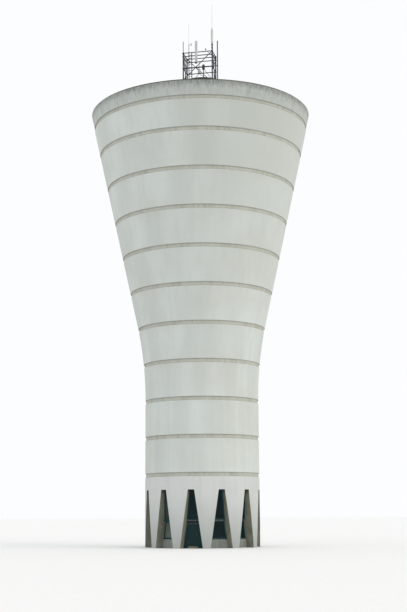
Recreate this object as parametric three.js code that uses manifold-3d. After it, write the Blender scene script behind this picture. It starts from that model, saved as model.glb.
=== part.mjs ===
// Flared concrete water tower on twelve splayed legs, at half its real size.
// Every length below is the real tower's, in millimetres, and the group's scale halves them.
// The tower stands on z = 0 with its axis on Z, and its entrance faces -Y.
import * as THREE from "three";
import { ConvexGeometry } from "three/addons/geometries/ConvexGeometry.js";
import { mergeVertices } from "three/addons/utils/BufferGeometryUtils.js";
import Module from "manifold-3d";

const wasm = await Module();
wasm.setup();

const MODEL_SCALE = 1 / 2;
const DEGREE = Math.PI / 180;
const SIDES = 48;
const GAP = 0.7; // between pieces that touch on the real tower
const LET_IN = 3; // how far a joined piece is let into the one that carries it
const OVERRUN = 100; // how far a cutting body runs past the faces that it cuts
const WELD = 1e-3;

// Outer profile: a straight shaft, an arc, then a straight flare up to the rim
const BASE_RADIUS = 4680;
const FLARE_SLOPE = 0.221;
const FLARE_KINK_Z = 15100; // where the shaft line and the flare line would meet
const FLARE_ARC_RADIUS = 29600;
const CHORD_TOLERANCE = 3; // a lift whose middle bulges by more gets one more ring of points
const WALL = 300;

// Each lift of the wall starts with a recessed, unpainted band
const LIFT_HEIGHT = 3000;
const BAND_HEIGHT = 310;
const BAND_DEPTH = 60;
const LOWEST_BAND_Z = 5730;
const SECOND_BAND_Z = 8700;
const TOP_BAND_Z = 35120;
const LIFT_COUNT = 10;

// Rim and roof
const RIM_TOP_Z = 36370;
const RIM_SETBACK = 45; // how far the rim's face stands behind the line of the flare
const PARAPET_WALL = 250;
const ROOF_LEDGE_Z = 35500;
const LEDGE_WIDTH = 375;
const ROOF_THICKNESS = 160;
const ROOF_PITCH = 10 * DEGREE;
const COPING_EDGE = 30; // upright face under the bevel
const COPING_BEVEL_WIDTH = 112;
const COPING_HEIGHT = 140;
const COPING_FALL = 20; // from the crown down to the inner edge
const COPING_DRIP = 20; // past the inner face of the parapet

// Round house on the roof, a little off the tower's axis
const ROOF_HOUSE_X = 200;
const ROOF_HOUSE_Y = 40;
const ROOF_HOUSE_RADIUS = 1850;
const ROOF_HOUSE_WALL = 200;
const ROOF_HOUSE_SEAT_MARGIN = 50;
const ROOF_HOUSE_SLAB_RADIUS = 1950;
const ROOF_HOUSE_SLAB = 110;
const ROOF_HOUSE_TOP_Z = 39410;

// Legs and the tapered openings between them
const BAY_COUNT = 12;
const BAY_PITCH = 360 / BAY_COUNT;
const HEAD_Z = 4540;
const OPENING_HALF_WIDTH = 918; // at the ground, on the outer face
const OPENING_TAPER = 0.1497; // half width lost for each unit of height
const REVEAL_SPLAY = 0.225; // half width lost for each unit of depth
const REVEAL_OUTER = 4640;
const CUT_NEAR_FOOT = 3000; // nearest the axis that the openings are cut, at the ground
const CUT_NEAR_HEAD = 4000; // and at their heads
const CUT_FAR = 5000;
const LEG_FOOT_INNER_RADIUS = 3800;
const LEG_KNEE_Z = 2200;
const LEG_HEAD_INNER_RADIUS = 4360;

// Screens that close the openings: a low wall, a window, a transom and raked glazing above
const SCREEN_BACK = LEG_FOOT_INNER_RADIUS;
const SCREEN_FRONT = 3970;
const LOW_WALL_PROUD = 20;
const WINDOW_BACK = 3890;
const SILL_Z = 720;
const TRANSOM_LOW_Z = 2100;
const TRANSOM_HIGH_Z = 2200;
const TRANSOM_FRONT = 4110;
const TRANSOM_SLOPE = 40;
const RAKED_FOOT_FRONT = 4090;
const RAKED_HEAD_FRONT = 4390;
const RAKED_THICKNESS = 90;
const FRAME_FACE = 70;
const PANE_RECESS = 45;

// Entrance: one leaf hung on its left side, opening outwards
const DOOR_HALF_WIDTH = 380;
const DOOR_LOW_Z = 170;
const DOOR_HIGH_Z = 2060;
const DOOR_THICKNESS = 45;
const DOOR_CLEARANCE = 10;
const THRESHOLD_Z = 150;
const HINGE_X = -390;
const HINGE_STAND_OFF = 22;
const HINGE_PLATE = 8;
const HINGE_FRAME_LEAF = 45;
const HINGE_DOOR_LEAF = 60;
const KNUCKLE_RADIUS = 14;
const KNUCKLE_LENGTH = 60;
const HINGE_HEIGHTS = [420, 1790];
const HANDLE_X = 320;
const HANDLE_Z = 1060;
const ROSE_WIDTH = 40;
const ROSE_HEIGHT = 180;
const ROSE_THICKNESS = 14;
const LEVER_LENGTH = 120;
const LEVER_SIZE = 16;
const LEVER_STAND_OFF = 46;

const FLOOR_TOP_Z = 150;

// Steel frame for the aerials, turned a little on the roof house
const MAST_TURN = -1.55 * DEGREE;
const MAST_WIDTH = 2570;
const MAST_DEPTH = 1455;
const MAST_CENTRE_X = -30;
const MAST_CENTRE_Y = -100;
const POST_SIZE = 100;
const RAIL_SIZE = 60;
const BRACE_SIZE = 50;
const FOOT_PLATE = 240;
const FOOT_PLATE_THICKNESS = 20;
const TOP_RAIL_Z = 42130;
const SECOND_RAIL_Z = 41820;
const MID_RAIL_Z = 40730;
const LOW_RAIL_Z = 39510;
const FRONT_BRACE_FOOT_Z = 39700;
const LEFT_POST_TOP_Z = 42190;
const LEFT_POLE_TOP_Z = 43200;
const LEFT_POLE_SIZE = 45;
const CORNER_POST_TOP_Z = 42620;
const BACK_POST_TOP_Z = 42190;

// What the frame carries, with x from its middle
const LADDER = { fromLeft: 485, width: 258, behind: 35, stile: 60, rung: 30, pitch: 280, above: 30 };
const PANEL = { x: -96, width: 220, depth: 120, standOff: 70, lowZ: 41150, highZ: 43090 };
const PANEL_BRACKET = { width: 80, height: 50 };
const STICK_COLLAR = { radius: 85, height: 150 };
const STICK = { stemRadius: 60, footZ: 42880, radius: 105, shoulderZ: 43960, neckRadius: 60, neckZ: 44190 };
const STICK_WHIP = { footRadius: 16, footZ: 44260, tipRadius: 12, tipZ: 46400 };
const WHIP = { sleeveRadius: 45, sleeveZ: 42960, rodRadius: 14, rodZ: 43000, tipRadius: 12, tipZ: 44800 };
const WHIP_CROSS = { z: 42880, reach: 250, size: 30, lowZ: 42740, highZ: 43040 };
const SIDE_POLE = { arm: 420, radius: 45, topZ: 43000 };
const LAMP = { x: 705, stemRadius: 20, radius: 55, lowZ: 42270, highZ: 42410 };
const DRUM = { x: 547, radius: 120, poleRadius: 40, standOff: 160, lowZ: 40420, highZ: 40840 };
const DRUM_BRACKET = { width: 80, height: 60 };
const RELAY_BOX = { x: 97, width: 220, depth: 200, lowZ: 40230, highZ: 40560 };
const RELAY_HANGER = { width: 80, depth: 20 };

const white = new THREE.MeshStandardMaterial({ color: 0xc9cecb, roughness: 0.85, metalness: 0 });
const weathered = new THREE.MeshStandardMaterial({ color: 0xb2b6af, roughness: 0.9, metalness: 0 });
const bare = new THREE.MeshStandardMaterial({ color: 0x8c887d, roughness: 0.9, metalness: 0 });
const petrol = new THREE.MeshStandardMaterial({ color: 0x17403f, roughness: 0.45, metalness: 0 });
const zinc = new THREE.MeshStandardMaterial({ color: 0x4d5257, roughness: 0.5, metalness: 0.7 });
const steel = new THREE.MeshStandardMaterial({ color: 0x46525a, roughness: 0.5, metalness: 0.8 });
const pale = new THREE.MeshStandardMaterial({ color: 0xc8cbc6, roughness: 0.5, metalness: 0 });
const black = new THREE.MeshStandardMaterial({ color: 0x23282c, roughness: 0.6, metalness: 0 });

const tower = new THREE.Group();
tower.scale.setScalar(MODEL_SCALE);

// A closed three.js geometry as a solid that can be joined and cut
function solid(geometry) {
  const bareGeometry = geometry.clone();
  bareGeometry.deleteAttribute("normal");
  bareGeometry.deleteAttribute("uv");
  const merged = mergeVertices(bareGeometry, WELD);
  return new wasm.Manifold(
    new wasm.Mesh({
      numProp: 3,
      vertProperties: new Float32Array(merged.attributes.position.array),
      triVerts: new Uint32Array(merged.index.array),
    }),
  );
}

function geometryOf(body) {
  const mesh = body.getMesh();
  const geometry = new THREE.BufferGeometry();
  geometry.setAttribute("position", new THREE.BufferAttribute(mesh.vertProperties, 3));
  geometry.setIndex(new THREE.BufferAttribute(mesh.triVerts, 1));
  geometry.computeVertexNormals();
  return geometry;
}

function place(name, geometry, material, parent = tower) {
  const mesh = new THREE.Mesh(geometry, material);
  mesh.name = name;
  parent.add(mesh);
  return mesh;
}

// A ring turned about Z from a closed outline of [radius, z] pairs, anticlockwise
function turned(outline, sides = SIDES) {
  const points = [...outline, outline[0]].map(([radius, z]) => new THREE.Vector2(radius, z));
  return new THREE.LatheGeometry(points, sides).rotateX(Math.PI / 2);
}

// A solid of revolution whose outline starts and ends on the axis
function turnedSolid(outline, sides) {
  const points = outline.map(([radius, z]) => new THREE.Vector2(radius, z));
  return new THREE.LatheGeometry(points, sides).rotateX(Math.PI / 2);
}

function block(x0, x1, y0, y1, z0, z1) {
  const box = new THREE.BoxGeometry(x1 - x0, y1 - y0, z1 - z0);
  return box.translate((x0 + x1) / 2, (y0 + y1) / 2, (z0 + z1) / 2);
}

// A straight bar between two points, square with 4 sides or rounder with more
function bar(from, to, size, sides = 4) {
  const start = new THREE.Vector3(...from);
  const end = new THREE.Vector3(...to);
  const along = end.clone().sub(start);
  const radius = sides === 4 ? size / Math.SQRT2 : size / 2;
  const rod = new THREE.CylinderGeometry(radius, radius, along.length(), sides);
  along.normalize();
  const steep = Math.abs(along.z) > 0.99;
  const reference = steep ? new THREE.Vector3(0, 1, 0) : new THREE.Vector3(0, 0, 1);
  const side = along.clone().cross(reference).normalize();
  const basis = new THREE.Matrix4().makeBasis(side, along, side.clone().cross(along));
  rod.rotateY(Math.PI / sides).applyMatrix4(basis);
  return rod.translate(...start.add(end).multiplyScalar(0.5).toArray());
}

function upright(x, y, z0, z1, radius, sides) {
  return new THREE.CylinderGeometry(radius, radius, z1 - z0, sides)
    .rotateX(Math.PI / 2)
    .translate(x, y, (z0 + z1) / 2);
}

function joined(geometries) {
  return geometries.map(solid).reduce((sum, next) => sum.add(next));
}

// Outer radius of the tower wall at a height
function outerRadius(z) {
  const halfTurn = Math.atan(FLARE_SLOPE) / 2;
  const tangent = FLARE_ARC_RADIUS * Math.tan(halfTurn);
  const arcStart = FLARE_KINK_Z - tangent;
  const arcEnd = FLARE_KINK_Z + tangent * Math.cos(2 * halfTurn);
  if (z <= arcStart) return BASE_RADIUS;
  if (z >= arcEnd) return BASE_RADIUS + FLARE_SLOPE * (z - FLARE_KINK_Z);
  return BASE_RADIUS + FLARE_ARC_RADIUS - Math.sqrt(FLARE_ARC_RADIUS ** 2 - (z - arcStart) ** 2);
}

// Bottoms of the recessed bands, from the lowest to the top one
const bandCentres = [LOWEST_BAND_Z];
for (let lift = 0; lift < LIFT_COUNT - 1; lift++) bandCentres.push(SECOND_BAND_Z + lift * LIFT_HEIGHT);
bandCentres.push(TOP_BAND_Z);
const bandBottoms = bandCentres.map((z) => z - BAND_HEIGHT / 2);

// Half the width of an opening at a height and a distance from the tower's axis
function openingHalfWidth(z, distance) {
  return OPENING_HALF_WIDTH - OPENING_TAPER * z - REVEAL_SPLAY * (REVEAL_OUTER - distance);
}

// The tapered space of an opening that faces -Y, drawn in by a margin at both sides
function openingWedge(margin) {
  const corners = [
    [-OVERRUN, CUT_NEAR_FOOT],
    [-OVERRUN, CUT_FAR],
    [HEAD_Z + OVERRUN, CUT_NEAR_HEAD],
    [HEAD_Z + OVERRUN, CUT_FAR],
  ];
  const points = [];
  for (const [z, distance] of corners)
    for (const side of [-1, 1])
      points.push(new THREE.Vector3(side * (openingHalfWidth(z, distance) - margin), -distance, z));
  return new ConvexGeometry(points);
}

// A bar across the tower's front from an outline of [distance, z] pairs, wider than any opening
function across(outline) {
  const halfWidth = OPENING_HALF_WIDTH + OVERRUN;
  const shape = new THREE.Shape(outline.map(([distance, z]) => new THREE.Vector2(distance, z)));
  const profile = new THREE.ExtrudeGeometry(shape, { depth: 2 * halfWidth, bevelEnabled: false });
  return profile.translate(0, 0, -halfWidth).rotateX(Math.PI / 2).rotateZ(-Math.PI / 2);
}

// A group that turns a piece made on the -Y side to its bay
function bayGroup(index) {
  const group = new THREE.Group();
  group.rotation.z = index * BAY_PITCH * DEGREE;
  tower.add(group);
  return group;
}

function numbered(stem, number) {
  return stem + "_" + String(number).padStart(2, "0");
}

function addLegs() {
  const top = HEAD_Z - GAP;
  const ring = turned([
    [BASE_RADIUS, 0],
    [BASE_RADIUS, top],
    [LEG_HEAD_INNER_RADIUS, top],
    [LEG_FOOT_INNER_RADIUS, LEG_KNEE_Z],
    [LEG_FOOT_INNER_RADIUS, 0],
  ]);
  const reach = 2 * BASE_RADIUS;
  const sectorShape = new THREE.Shape([
    new THREE.Vector2(0, 0),
    new THREE.Vector2(0, -reach),
    new THREE.Vector2(reach * Math.sin(BAY_PITCH * DEGREE), -reach * Math.cos(BAY_PITCH * DEGREE)),
  ]);
  const sector = new THREE.ExtrudeGeometry(sectorShape, { depth: HEAD_Z, bevelEnabled: false });
  const opening = openingWedge(0);
  const nextOpening = opening.clone().rotateZ(BAY_PITCH * DEGREE);
  const openings = solid(opening).add(solid(nextOpening));
  const leg = solid(ring).intersect(solid(sector)).subtract(openings);
  for (let index = 0; index < BAY_COUNT; index++)
    place(numbered("leg", index + 1), geometryOf(leg), white, bayGroup(index));
}

// A screen from its foot to its raked head, fitted between two legs
function screenBody(footFront) {
  const top = HEAD_Z - 2 * GAP;
  const outline = [
    [SCREEN_BACK, 0],
    [footFront, 0],
    [footFront, SILL_Z],
    [SCREEN_FRONT, SILL_Z],
    [SCREEN_FRONT, TRANSOM_LOW_Z],
    [TRANSOM_FRONT, TRANSOM_LOW_Z],
    [TRANSOM_FRONT, TRANSOM_HIGH_Z],
    [RAKED_FOOT_FRONT, TRANSOM_HIGH_Z],
    [RAKED_HEAD_FRONT, top],
    [RAKED_HEAD_FRONT - RAKED_THICKNESS, top],
    [RAKED_FOOT_FRONT - RAKED_THICKNESS, TRANSOM_HIGH_Z + TRANSOM_SLOPE],
    [WINDOW_BACK, TRANSOM_HIGH_Z],
    [WINDOW_BACK, SILL_Z],
    [SCREEN_BACK, SILL_Z],
  ];
  return solid(across(outline)).intersect(solid(openingWedge(GAP)));
}

// The recess of a pane inside its frame, between two heights, where front(z) is the frame's face
function paneRecess(low, high, front) {
  const outline = [
    [front(low) - PANE_RECESS, low],
    [front(low) + OVERRUN, low],
    [front(high) + OVERRUN, high],
    [front(high) - PANE_RECESS, high],
  ];
  return solid(across(outline)).intersect(solid(openingWedge(FRAME_FACE)));
}

function rakedRecess() {
  const lean = (RAKED_HEAD_FRONT - RAKED_FOOT_FRONT) / (HEAD_Z - TRANSOM_HIGH_Z);
  const front = (z) => RAKED_FOOT_FRONT + lean * (z - TRANSOM_HIGH_Z);
  return paneRecess(TRANSOM_HIGH_Z + FRAME_FACE, HEAD_Z - FRAME_FACE, front);
}

function windowRecess() {
  return paneRecess(SILL_Z + FRAME_FACE, TRANSOM_LOW_Z - FRAME_FACE, () => SCREEN_FRONT);
}

function addScreens() {
  const body = screenBody(SCREEN_FRONT + LOW_WALL_PROUD);
  const screen = body.subtract(rakedRecess()).subtract(windowRecess());
  for (let index = 1; index < BAY_COUNT; index++)
    place(numbered("bay_screen", index + 1), geometryOf(screen), petrol, bayGroup(index));
}

// A hinge knuckle with the plate that fastens it
function knuckle(low, plateX0, plateX1) {
  const axisY = -(SCREEN_FRONT + HINGE_STAND_OFF);
  const high = low + KNUCKLE_LENGTH;
  const plate = block(plateX0, plateX1, axisY - HINGE_PLATE / 2, LET_IN - SCREEN_FRONT, low, high);
  return joined([upright(HINGE_X, axisY, low, high, KNUCKLE_RADIUS, 12), plate]);
}

function doorHandle() {
  const face = -SCREEN_FRONT;
  const half = LEVER_SIZE / 2;
  const leverBack = face - LEVER_STAND_OFF;
  const [x0, x1] = [HANDLE_X - ROSE_WIDTH / 2, HANDLE_X + ROSE_WIDTH / 2];
  const [z0, z1] = [HANDLE_Z - half, HANDLE_Z + half];
  const [roseLow, roseHigh] = [HANDLE_Z - ROSE_HEIGHT / 2, HANDLE_Z + ROSE_HEIGHT / 2];
  return [
    block(x0, x1, face - ROSE_THICKNESS, face + LET_IN, roseLow, roseHigh),
    block(HANDLE_X - half, HANDLE_X + half, leverBack - half, face, z0, z1),
    block(HANDLE_X - LEVER_LENGTH, HANDLE_X + half, leverBack - LEVER_SIZE, leverBack, z0, z1),
  ];
}

function addEntrance() {
  const jamb = DOOR_HALF_WIDTH + DOOR_CLEARANCE;
  const [outside, inside] = [-(SCREEN_FRONT + OVERRUN), -(SCREEN_BACK - OVERRUN)];
  const doorway = block(-jamb, jamb, outside, inside, THRESHOLD_Z, DOOR_HIGH_Z + DOOR_CLEARANCE);
  let screen = screenBody(SCREEN_FRONT).subtract(rakedRecess()).subtract(solid(doorway));
  const back = -(SCREEN_FRONT - DOOR_THICKNESS);
  const slab = block(-DOOR_HALF_WIDTH, DOOR_HALF_WIDTH, -SCREEN_FRONT, back, DOOR_LOW_Z, DOOR_HIGH_Z);
  let leaf = joined([slab, ...doorHandle()]);
  for (const z of HINGE_HEIGHTS) {
    screen = screen.add(knuckle(z, HINGE_X - HINGE_FRAME_LEAF, HINGE_X));
    leaf = leaf.add(knuckle(z + KNUCKLE_LENGTH + GAP, HINGE_X, HINGE_X + HINGE_DOOR_LEAF));
  }
  place("entrance_screen", geometryOf(screen), petrol);
  place("entrance_door", geometryOf(leaf), petrol);
}

function addHeadRing() {
  const top = bandBottoms[0] - GAP;
  const outline = [
    [BASE_RADIUS, HEAD_Z],
    [BASE_RADIUS, top],
    [BASE_RADIUS - WALL, top],
    [BASE_RADIUS - WALL, HEAD_Z],
  ];
  place("head_ring", turned(outline), white);
}

// One lift of the wall: the recessed band, the step out, and the painted face up to the next band
function liftOutline(bottom, top) {
  const bandTop = bottom + BAND_HEIGHT;
  const outline = [
    [outerRadius(bottom) - BAND_DEPTH, bottom],
    [outerRadius(bandTop) - BAND_DEPTH, bandTop],
    [outerRadius(bandTop), bandTop],
  ];
  const middle = (bandTop + top) / 2;
  const chord = (outerRadius(bandTop) + outerRadius(top)) / 2;
  if (Math.abs(outerRadius(middle) - chord) > CHORD_TOLERANCE) outline.push([outerRadius(middle), middle]);
  outline.push([outerRadius(top), top]);
  outline.push([outerRadius(top) - WALL, top]);
  outline.push([outerRadius(bottom) - WALL, bottom]);
  return outline;
}

function addLifts() {
  for (let index = 0; index < LIFT_COUNT; index++) {
    const outline = liftOutline(bandBottoms[index], bandBottoms[index + 1] - GAP);
    place(numbered("wall_lift", index + 1), turned(outline), white);
  }
}

// Outer radius of the rim's face at a height
function rimRadius(z) {
  return outerRadius(z) - RIM_SETBACK;
}

const parapetInner = rimRadius(RIM_TOP_Z) - PARAPET_WALL;
const ledgeOuter = rimRadius(ROOF_LEDGE_Z) - PARAPET_WALL;
const ledgeInner = ledgeOuter - LEDGE_WIDTH;

function addRim() {
  const bottom = bandBottoms[LIFT_COUNT];
  const bandTop = bottom + BAND_HEIGHT;
  const rim = [
    [rimRadius(bottom) - BAND_DEPTH, bottom],
    [rimRadius(bandTop) - BAND_DEPTH, bandTop],
    [rimRadius(bandTop), bandTop],
    [rimRadius(RIM_TOP_Z), RIM_TOP_Z],
    [parapetInner, RIM_TOP_Z],
    [ledgeOuter, ROOF_LEDGE_Z],
    [ledgeInner, ROOF_LEDGE_Z],
    [outerRadius(bottom) - WALL, bottom],
  ];
  place("rim_ring", turned(rim), weathered);

  const seat = RIM_TOP_Z + GAP;
  const crown = seat + COPING_HEIGHT;
  const copingInner = parapetInner - COPING_DRIP;
  const coping = [
    [rimRadius(RIM_TOP_Z), seat],
    [rimRadius(RIM_TOP_Z), seat + COPING_EDGE],
    [rimRadius(RIM_TOP_Z) - COPING_BEVEL_WIDTH, crown],
    [copingInner, crown - COPING_FALL],
    [copingInner, seat],
  ];
  place("rim_coping", turned(coping), weathered);
}

// A low cone with a level seat, and a hole, where the roof house stands
function addRoof() {
  const foot = ROOF_LEDGE_Z + GAP;
  const edge = ledgeOuter - GAP;
  const seatRadius = ROOF_HOUSE_RADIUS + ROOF_HOUSE_X + ROOF_HOUSE_SEAT_MARGIN;
  const holeRadius = ROOF_HOUSE_RADIUS - ROOF_HOUSE_WALL - ROOF_HOUSE_X - ROOF_HOUSE_SEAT_MARGIN;
  const seatFoot = foot + (ledgeInner - seatRadius) * Math.tan(ROOF_PITCH);
  const seatTop = seatFoot + ROOF_THICKNESS;
  const roof = [
    [seatRadius, seatFoot],
    [ledgeInner, foot],
    [edge, foot],
    [edge, foot + ROOF_THICKNESS],
    [ledgeInner, foot + ROOF_THICKNESS],
    [seatRadius, seatTop],
    [holeRadius, seatTop],
    [holeRadius, seatFoot],
  ];
  place("roof_slab", turned(roof), weathered);

  const houseSides = SIDES / 2;
  const slabFoot = ROOF_HOUSE_TOP_Z - ROOF_HOUSE_SLAB;
  const wallInner = ROOF_HOUSE_RADIUS - ROOF_HOUSE_WALL;
  const wall = [
    [wallInner, seatTop + GAP],
    [ROOF_HOUSE_RADIUS, seatTop + GAP],
    [ROOF_HOUSE_RADIUS, slabFoot - GAP],
    [wallInner, slabFoot - GAP],
  ];
  const house = turned(wall, houseSides).translate(ROOF_HOUSE_X, ROOF_HOUSE_Y, 0);
  place("roof_house_wall", house, bare);
  const cover = upright(
    ROOF_HOUSE_X, ROOF_HOUSE_Y, slabFoot, ROOF_HOUSE_TOP_Z, ROOF_HOUSE_SLAB_RADIUS, houseSides,
  );
  place("roof_house_slab", cover, zinc);
}

function addFloor() {
  const radius = LEG_FOOT_INNER_RADIUS - GAP;
  place("ground_floor", upright(0, 0, 0, FLOOR_TOP_Z, radius, SIDES), bare);
}

// The aerial frame is laid out square to itself: x along its front, y towards its back
const mast = new THREE.Group();
mast.position.set(MAST_CENTRE_X, MAST_CENTRE_Y, 0);
mast.rotation.z = MAST_TURN;
tower.add(mast);
const LEFT_X = -MAST_WIDTH / 2;
const RIGHT_X = MAST_WIDTH / 2;
const FRONT_Y = -MAST_DEPTH / 2;
const BACK_Y = MAST_DEPTH / 2;
const MAST_FOOT_Z = ROOF_HOUSE_TOP_Z + GAP;
const RAIL_FRONT_Y = FRONT_Y - RAIL_SIZE / 2 - GAP;
const RAIL_BACK_Y = FRONT_Y + RAIL_SIZE / 2 + GAP;
const RAIL_HEIGHTS = [TOP_RAIL_Z, SECOND_RAIL_Z, MID_RAIL_Z, LOW_RAIL_Z];

// A post on its foot plate
function post(x, y, top) {
  const half = FOOT_PLATE / 2;
  const plateTop = MAST_FOOT_Z + FOOT_PLATE_THICKNESS;
  const plate = block(x - half, x + half, y - half, y + half, MAST_FOOT_Z, plateTop);
  return [plate, bar([x, y, MAST_FOOT_Z], [x, y, top], POST_SIZE)];
}

// Two posts with the rails between them
function railedSide(y, leftTop, rightTop) {
  const rails = RAIL_HEIGHTS.map((z) => bar([LEFT_X, y, z], [RIGHT_X, y, z], RAIL_SIZE));
  return [...post(LEFT_X, y, leftTop), ...post(RIGHT_X, y, rightTop), ...rails];
}

function addMastFrame() {
  const armEnd = RIGHT_X + SIDE_POLE.arm;
  const front = joined([
    ...railedSide(FRONT_Y, LEFT_POST_TOP_Z, CORNER_POST_TOP_Z),
    bar([RIGHT_X, FRONT_Y, MID_RAIL_Z], [armEnd, FRONT_Y, MID_RAIL_Z], RAIL_SIZE),
    bar([LEFT_X, FRONT_Y, LEFT_POST_TOP_Z], [LEFT_X, FRONT_Y, LEFT_POLE_TOP_Z], LEFT_POLE_SIZE),
    bar([LEFT_X, FRONT_Y, FRONT_BRACE_FOOT_Z], [RIGHT_X, FRONT_Y, TOP_RAIL_Z], BRACE_SIZE),
  ]);
  place("mast_front_side", geometryOf(front), steel, mast);

  const back = joined([
    ...railedSide(BACK_Y, BACK_POST_TOP_Z, BACK_POST_TOP_Z),
    bar([LEFT_X, BACK_Y, TOP_RAIL_Z], [RIGHT_X, BACK_Y, LOW_RAIL_Z], BRACE_SIZE),
  ]);
  place("mast_back_side", geometryOf(back), steel, mast);

  const y0 = FRONT_Y + POST_SIZE / 2 + GAP;
  const y1 = BACK_Y - POST_SIZE / 2 - GAP;
  for (const [name, x] of [["mast_left_side", LEFT_X], ["mast_right_side", RIGHT_X]]) {
    const side = joined([
      ...RAIL_HEIGHTS.map((z) => bar([x, y0, z], [x, y1, z], RAIL_SIZE)),
      bar([x, y0 + RAIL_SIZE, SECOND_RAIL_Z], [x, y1 - RAIL_SIZE, LOW_RAIL_Z], BRACE_SIZE),
      bar([x, 0, LOW_RAIL_Z], [x, 0, TOP_RAIL_Z], BRACE_SIZE),
    ]);
    place(name, geometryOf(side), steel, mast);
  }
}

const ladderY = RAIL_BACK_Y + LADDER.behind;
const ladderLeft = LEFT_X + LADDER.fromLeft;
const ladderTop = TOP_RAIL_Z + LADDER.above;

function addLadder() {
  const right = ladderLeft + LADDER.width;
  const pieces = [ladderLeft, right].map((x) =>
    bar([x, ladderY, MAST_FOOT_Z], [x, ladderY, ladderTop], LADDER.stile),
  );
  for (let z = MAST_FOOT_Z + LADDER.pitch; z < TOP_RAIL_Z; z += LADDER.pitch)
    pieces.push(bar([ladderLeft, ladderY, z], [right, ladderY, z], LADDER.rung));
  place("mast_ladder", geometryOf(joined(pieces)), steel, mast);
}

function addPanelAerial() {
  const back = RAIL_FRONT_Y - PANEL.standOff;
  const half = PANEL.width / 2;
  const pieces = [
    block(PANEL.x - half, PANEL.x + half, back - PANEL.depth, back, PANEL.lowZ, PANEL.highZ),
  ];
  const bracketHalf = PANEL_BRACKET.width / 2;
  for (const z of [TOP_RAIL_Z, SECOND_RAIL_Z]) {
    const [low, high] = [z - PANEL_BRACKET.height / 2, z + PANEL_BRACKET.height / 2];
    const [x0, x1] = [PANEL.x - bracketHalf, PANEL.x + bracketHalf];
    pieces.push(block(x0, x1, back - LET_IN, RAIL_FRONT_Y, low, high));
  }
  place("panel_aerial", geometryOf(joined(pieces)), pale, mast);
}

function addStickAerial() {
  const collarFoot = CORNER_POST_TOP_Z + GAP;
  const collarTop = collarFoot + STICK_COLLAR.height;
  const collar = upright(RIGHT_X, FRONT_Y, collarFoot, collarTop, STICK_COLLAR.radius, 10);
  place("stick_aerial_base", collar, black, mast);
  const outline = [
    [0, collarTop + GAP],
    [STICK.stemRadius, collarTop + GAP],
    [STICK.stemRadius, STICK.footZ],
    [STICK.radius, STICK.footZ],
    [STICK.radius, STICK.shoulderZ],
    [STICK.neckRadius, STICK.neckZ],
    [STICK_WHIP.footRadius, STICK_WHIP.footZ],
    [STICK_WHIP.tipRadius, STICK_WHIP.tipZ],
    [0, STICK_WHIP.tipZ],
  ];
  const stick = turnedSolid(outline, 10).translate(RIGHT_X, FRONT_Y, 0);
  place("stick_aerial", stick, pale, mast);
}

function addWhipAerial() {
  const foot = ladderTop + GAP;
  const outline = [
    [0, foot],
    [WHIP.sleeveRadius, foot],
    [WHIP.sleeveRadius, WHIP.sleeveZ],
    [WHIP.rodRadius, WHIP.rodZ],
    [WHIP.tipRadius, WHIP.tipZ],
    [0, WHIP.tipZ],
  ];
  const crossX = ladderLeft + WHIP_CROSS.reach;
  const dipoleX = crossX - WHIP_CROSS.size / 2;
  const whip = joined([
    turnedSolid(outline, 8).translate(ladderLeft, ladderY, 0),
    bar([ladderLeft, ladderY, WHIP_CROSS.z], [crossX, ladderY, WHIP_CROSS.z], WHIP_CROSS.size),
    bar([dipoleX, ladderY, WHIP_CROSS.lowZ], [dipoleX, ladderY, WHIP_CROSS.highZ], WHIP_CROSS.size),
  ]);
  place("whip_aerial", geometryOf(whip), pale, mast);
}

function addSidePole() {
  const x = RIGHT_X + SIDE_POLE.arm + SIDE_POLE.radius + GAP;
  const pole = upright(x, FRONT_Y, MAST_FOOT_Z, SIDE_POLE.topZ, SIDE_POLE.radius, 10);
  place("side_pole", pole, steel, mast);
}

function addWarningLamp() {
  const lamp = joined([
    upright(LAMP.x, FRONT_Y, TOP_RAIL_Z + RAIL_SIZE / 2 + GAP, LAMP.highZ, LAMP.stemRadius, 8),
    upright(LAMP.x, FRONT_Y, LAMP.lowZ, LAMP.highZ, LAMP.radius, 8),
  ]);
  place("warning_lamp", geometryOf(lamp), black, mast);
}

function addDrumAerial() {
  const y = RAIL_FRONT_Y - DRUM.standOff;
  const [x0, x1] = [DRUM.x - DRUM_BRACKET.width / 2, DRUM.x + DRUM_BRACKET.width / 2];
  const half = DRUM_BRACKET.height / 2;
  const drum = joined([
    upright(DRUM.x, y, DRUM.lowZ, DRUM.highZ, DRUM.radius, 12),
    upright(DRUM.x, y, LOW_RAIL_Z - half, DRUM.lowZ + LET_IN, DRUM.poleRadius, 8),
    ...[MID_RAIL_Z, LOW_RAIL_Z].map((z) => block(x0, x1, y, RAIL_FRONT_Y, z - half, z + half)),
  ]);
  place("drum_aerial", geometryOf(drum), black, mast);
}

function addRelayBox() {
  const { x, width, depth, lowZ, highZ } = RELAY_BOX;
  const hangerBack = RAIL_BACK_Y + RELAY_HANGER.depth;
  const half = RELAY_HANGER.width / 2;
  const box = joined([
    block(x - width / 2, x + width / 2, RAIL_BACK_Y, RAIL_BACK_Y + depth, lowZ, highZ),
    block(x - half, x + half, RAIL_BACK_Y, hangerBack, highZ - LET_IN, MID_RAIL_Z + RAIL_SIZE / 2),
  ]);
  place("relay_box", geometryOf(box), pale, mast);
}

addLegs();
addScreens();
addEntrance();
addHeadRing();
addLifts();
addRim();
addRoof();
addFloor();
addMastFrame();
addLadder();
addPanelAerial();
addStickAerial();
addWhipAerial();
addSidePole();
addWarningLamp();
addDrumAerial();
addRelayBox();

export default tower;
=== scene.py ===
"""Looks of the flared concrete water tower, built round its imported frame.

All lengths are metres at the model's size, which is half the real tower's. The tower stands on z = 0 with
its axis on Z, and its entrance faces -Y.
"""

import logging
import math
from collections.abc import Sequence
from dataclasses import dataclass
from enum import Enum, IntEnum

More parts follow.
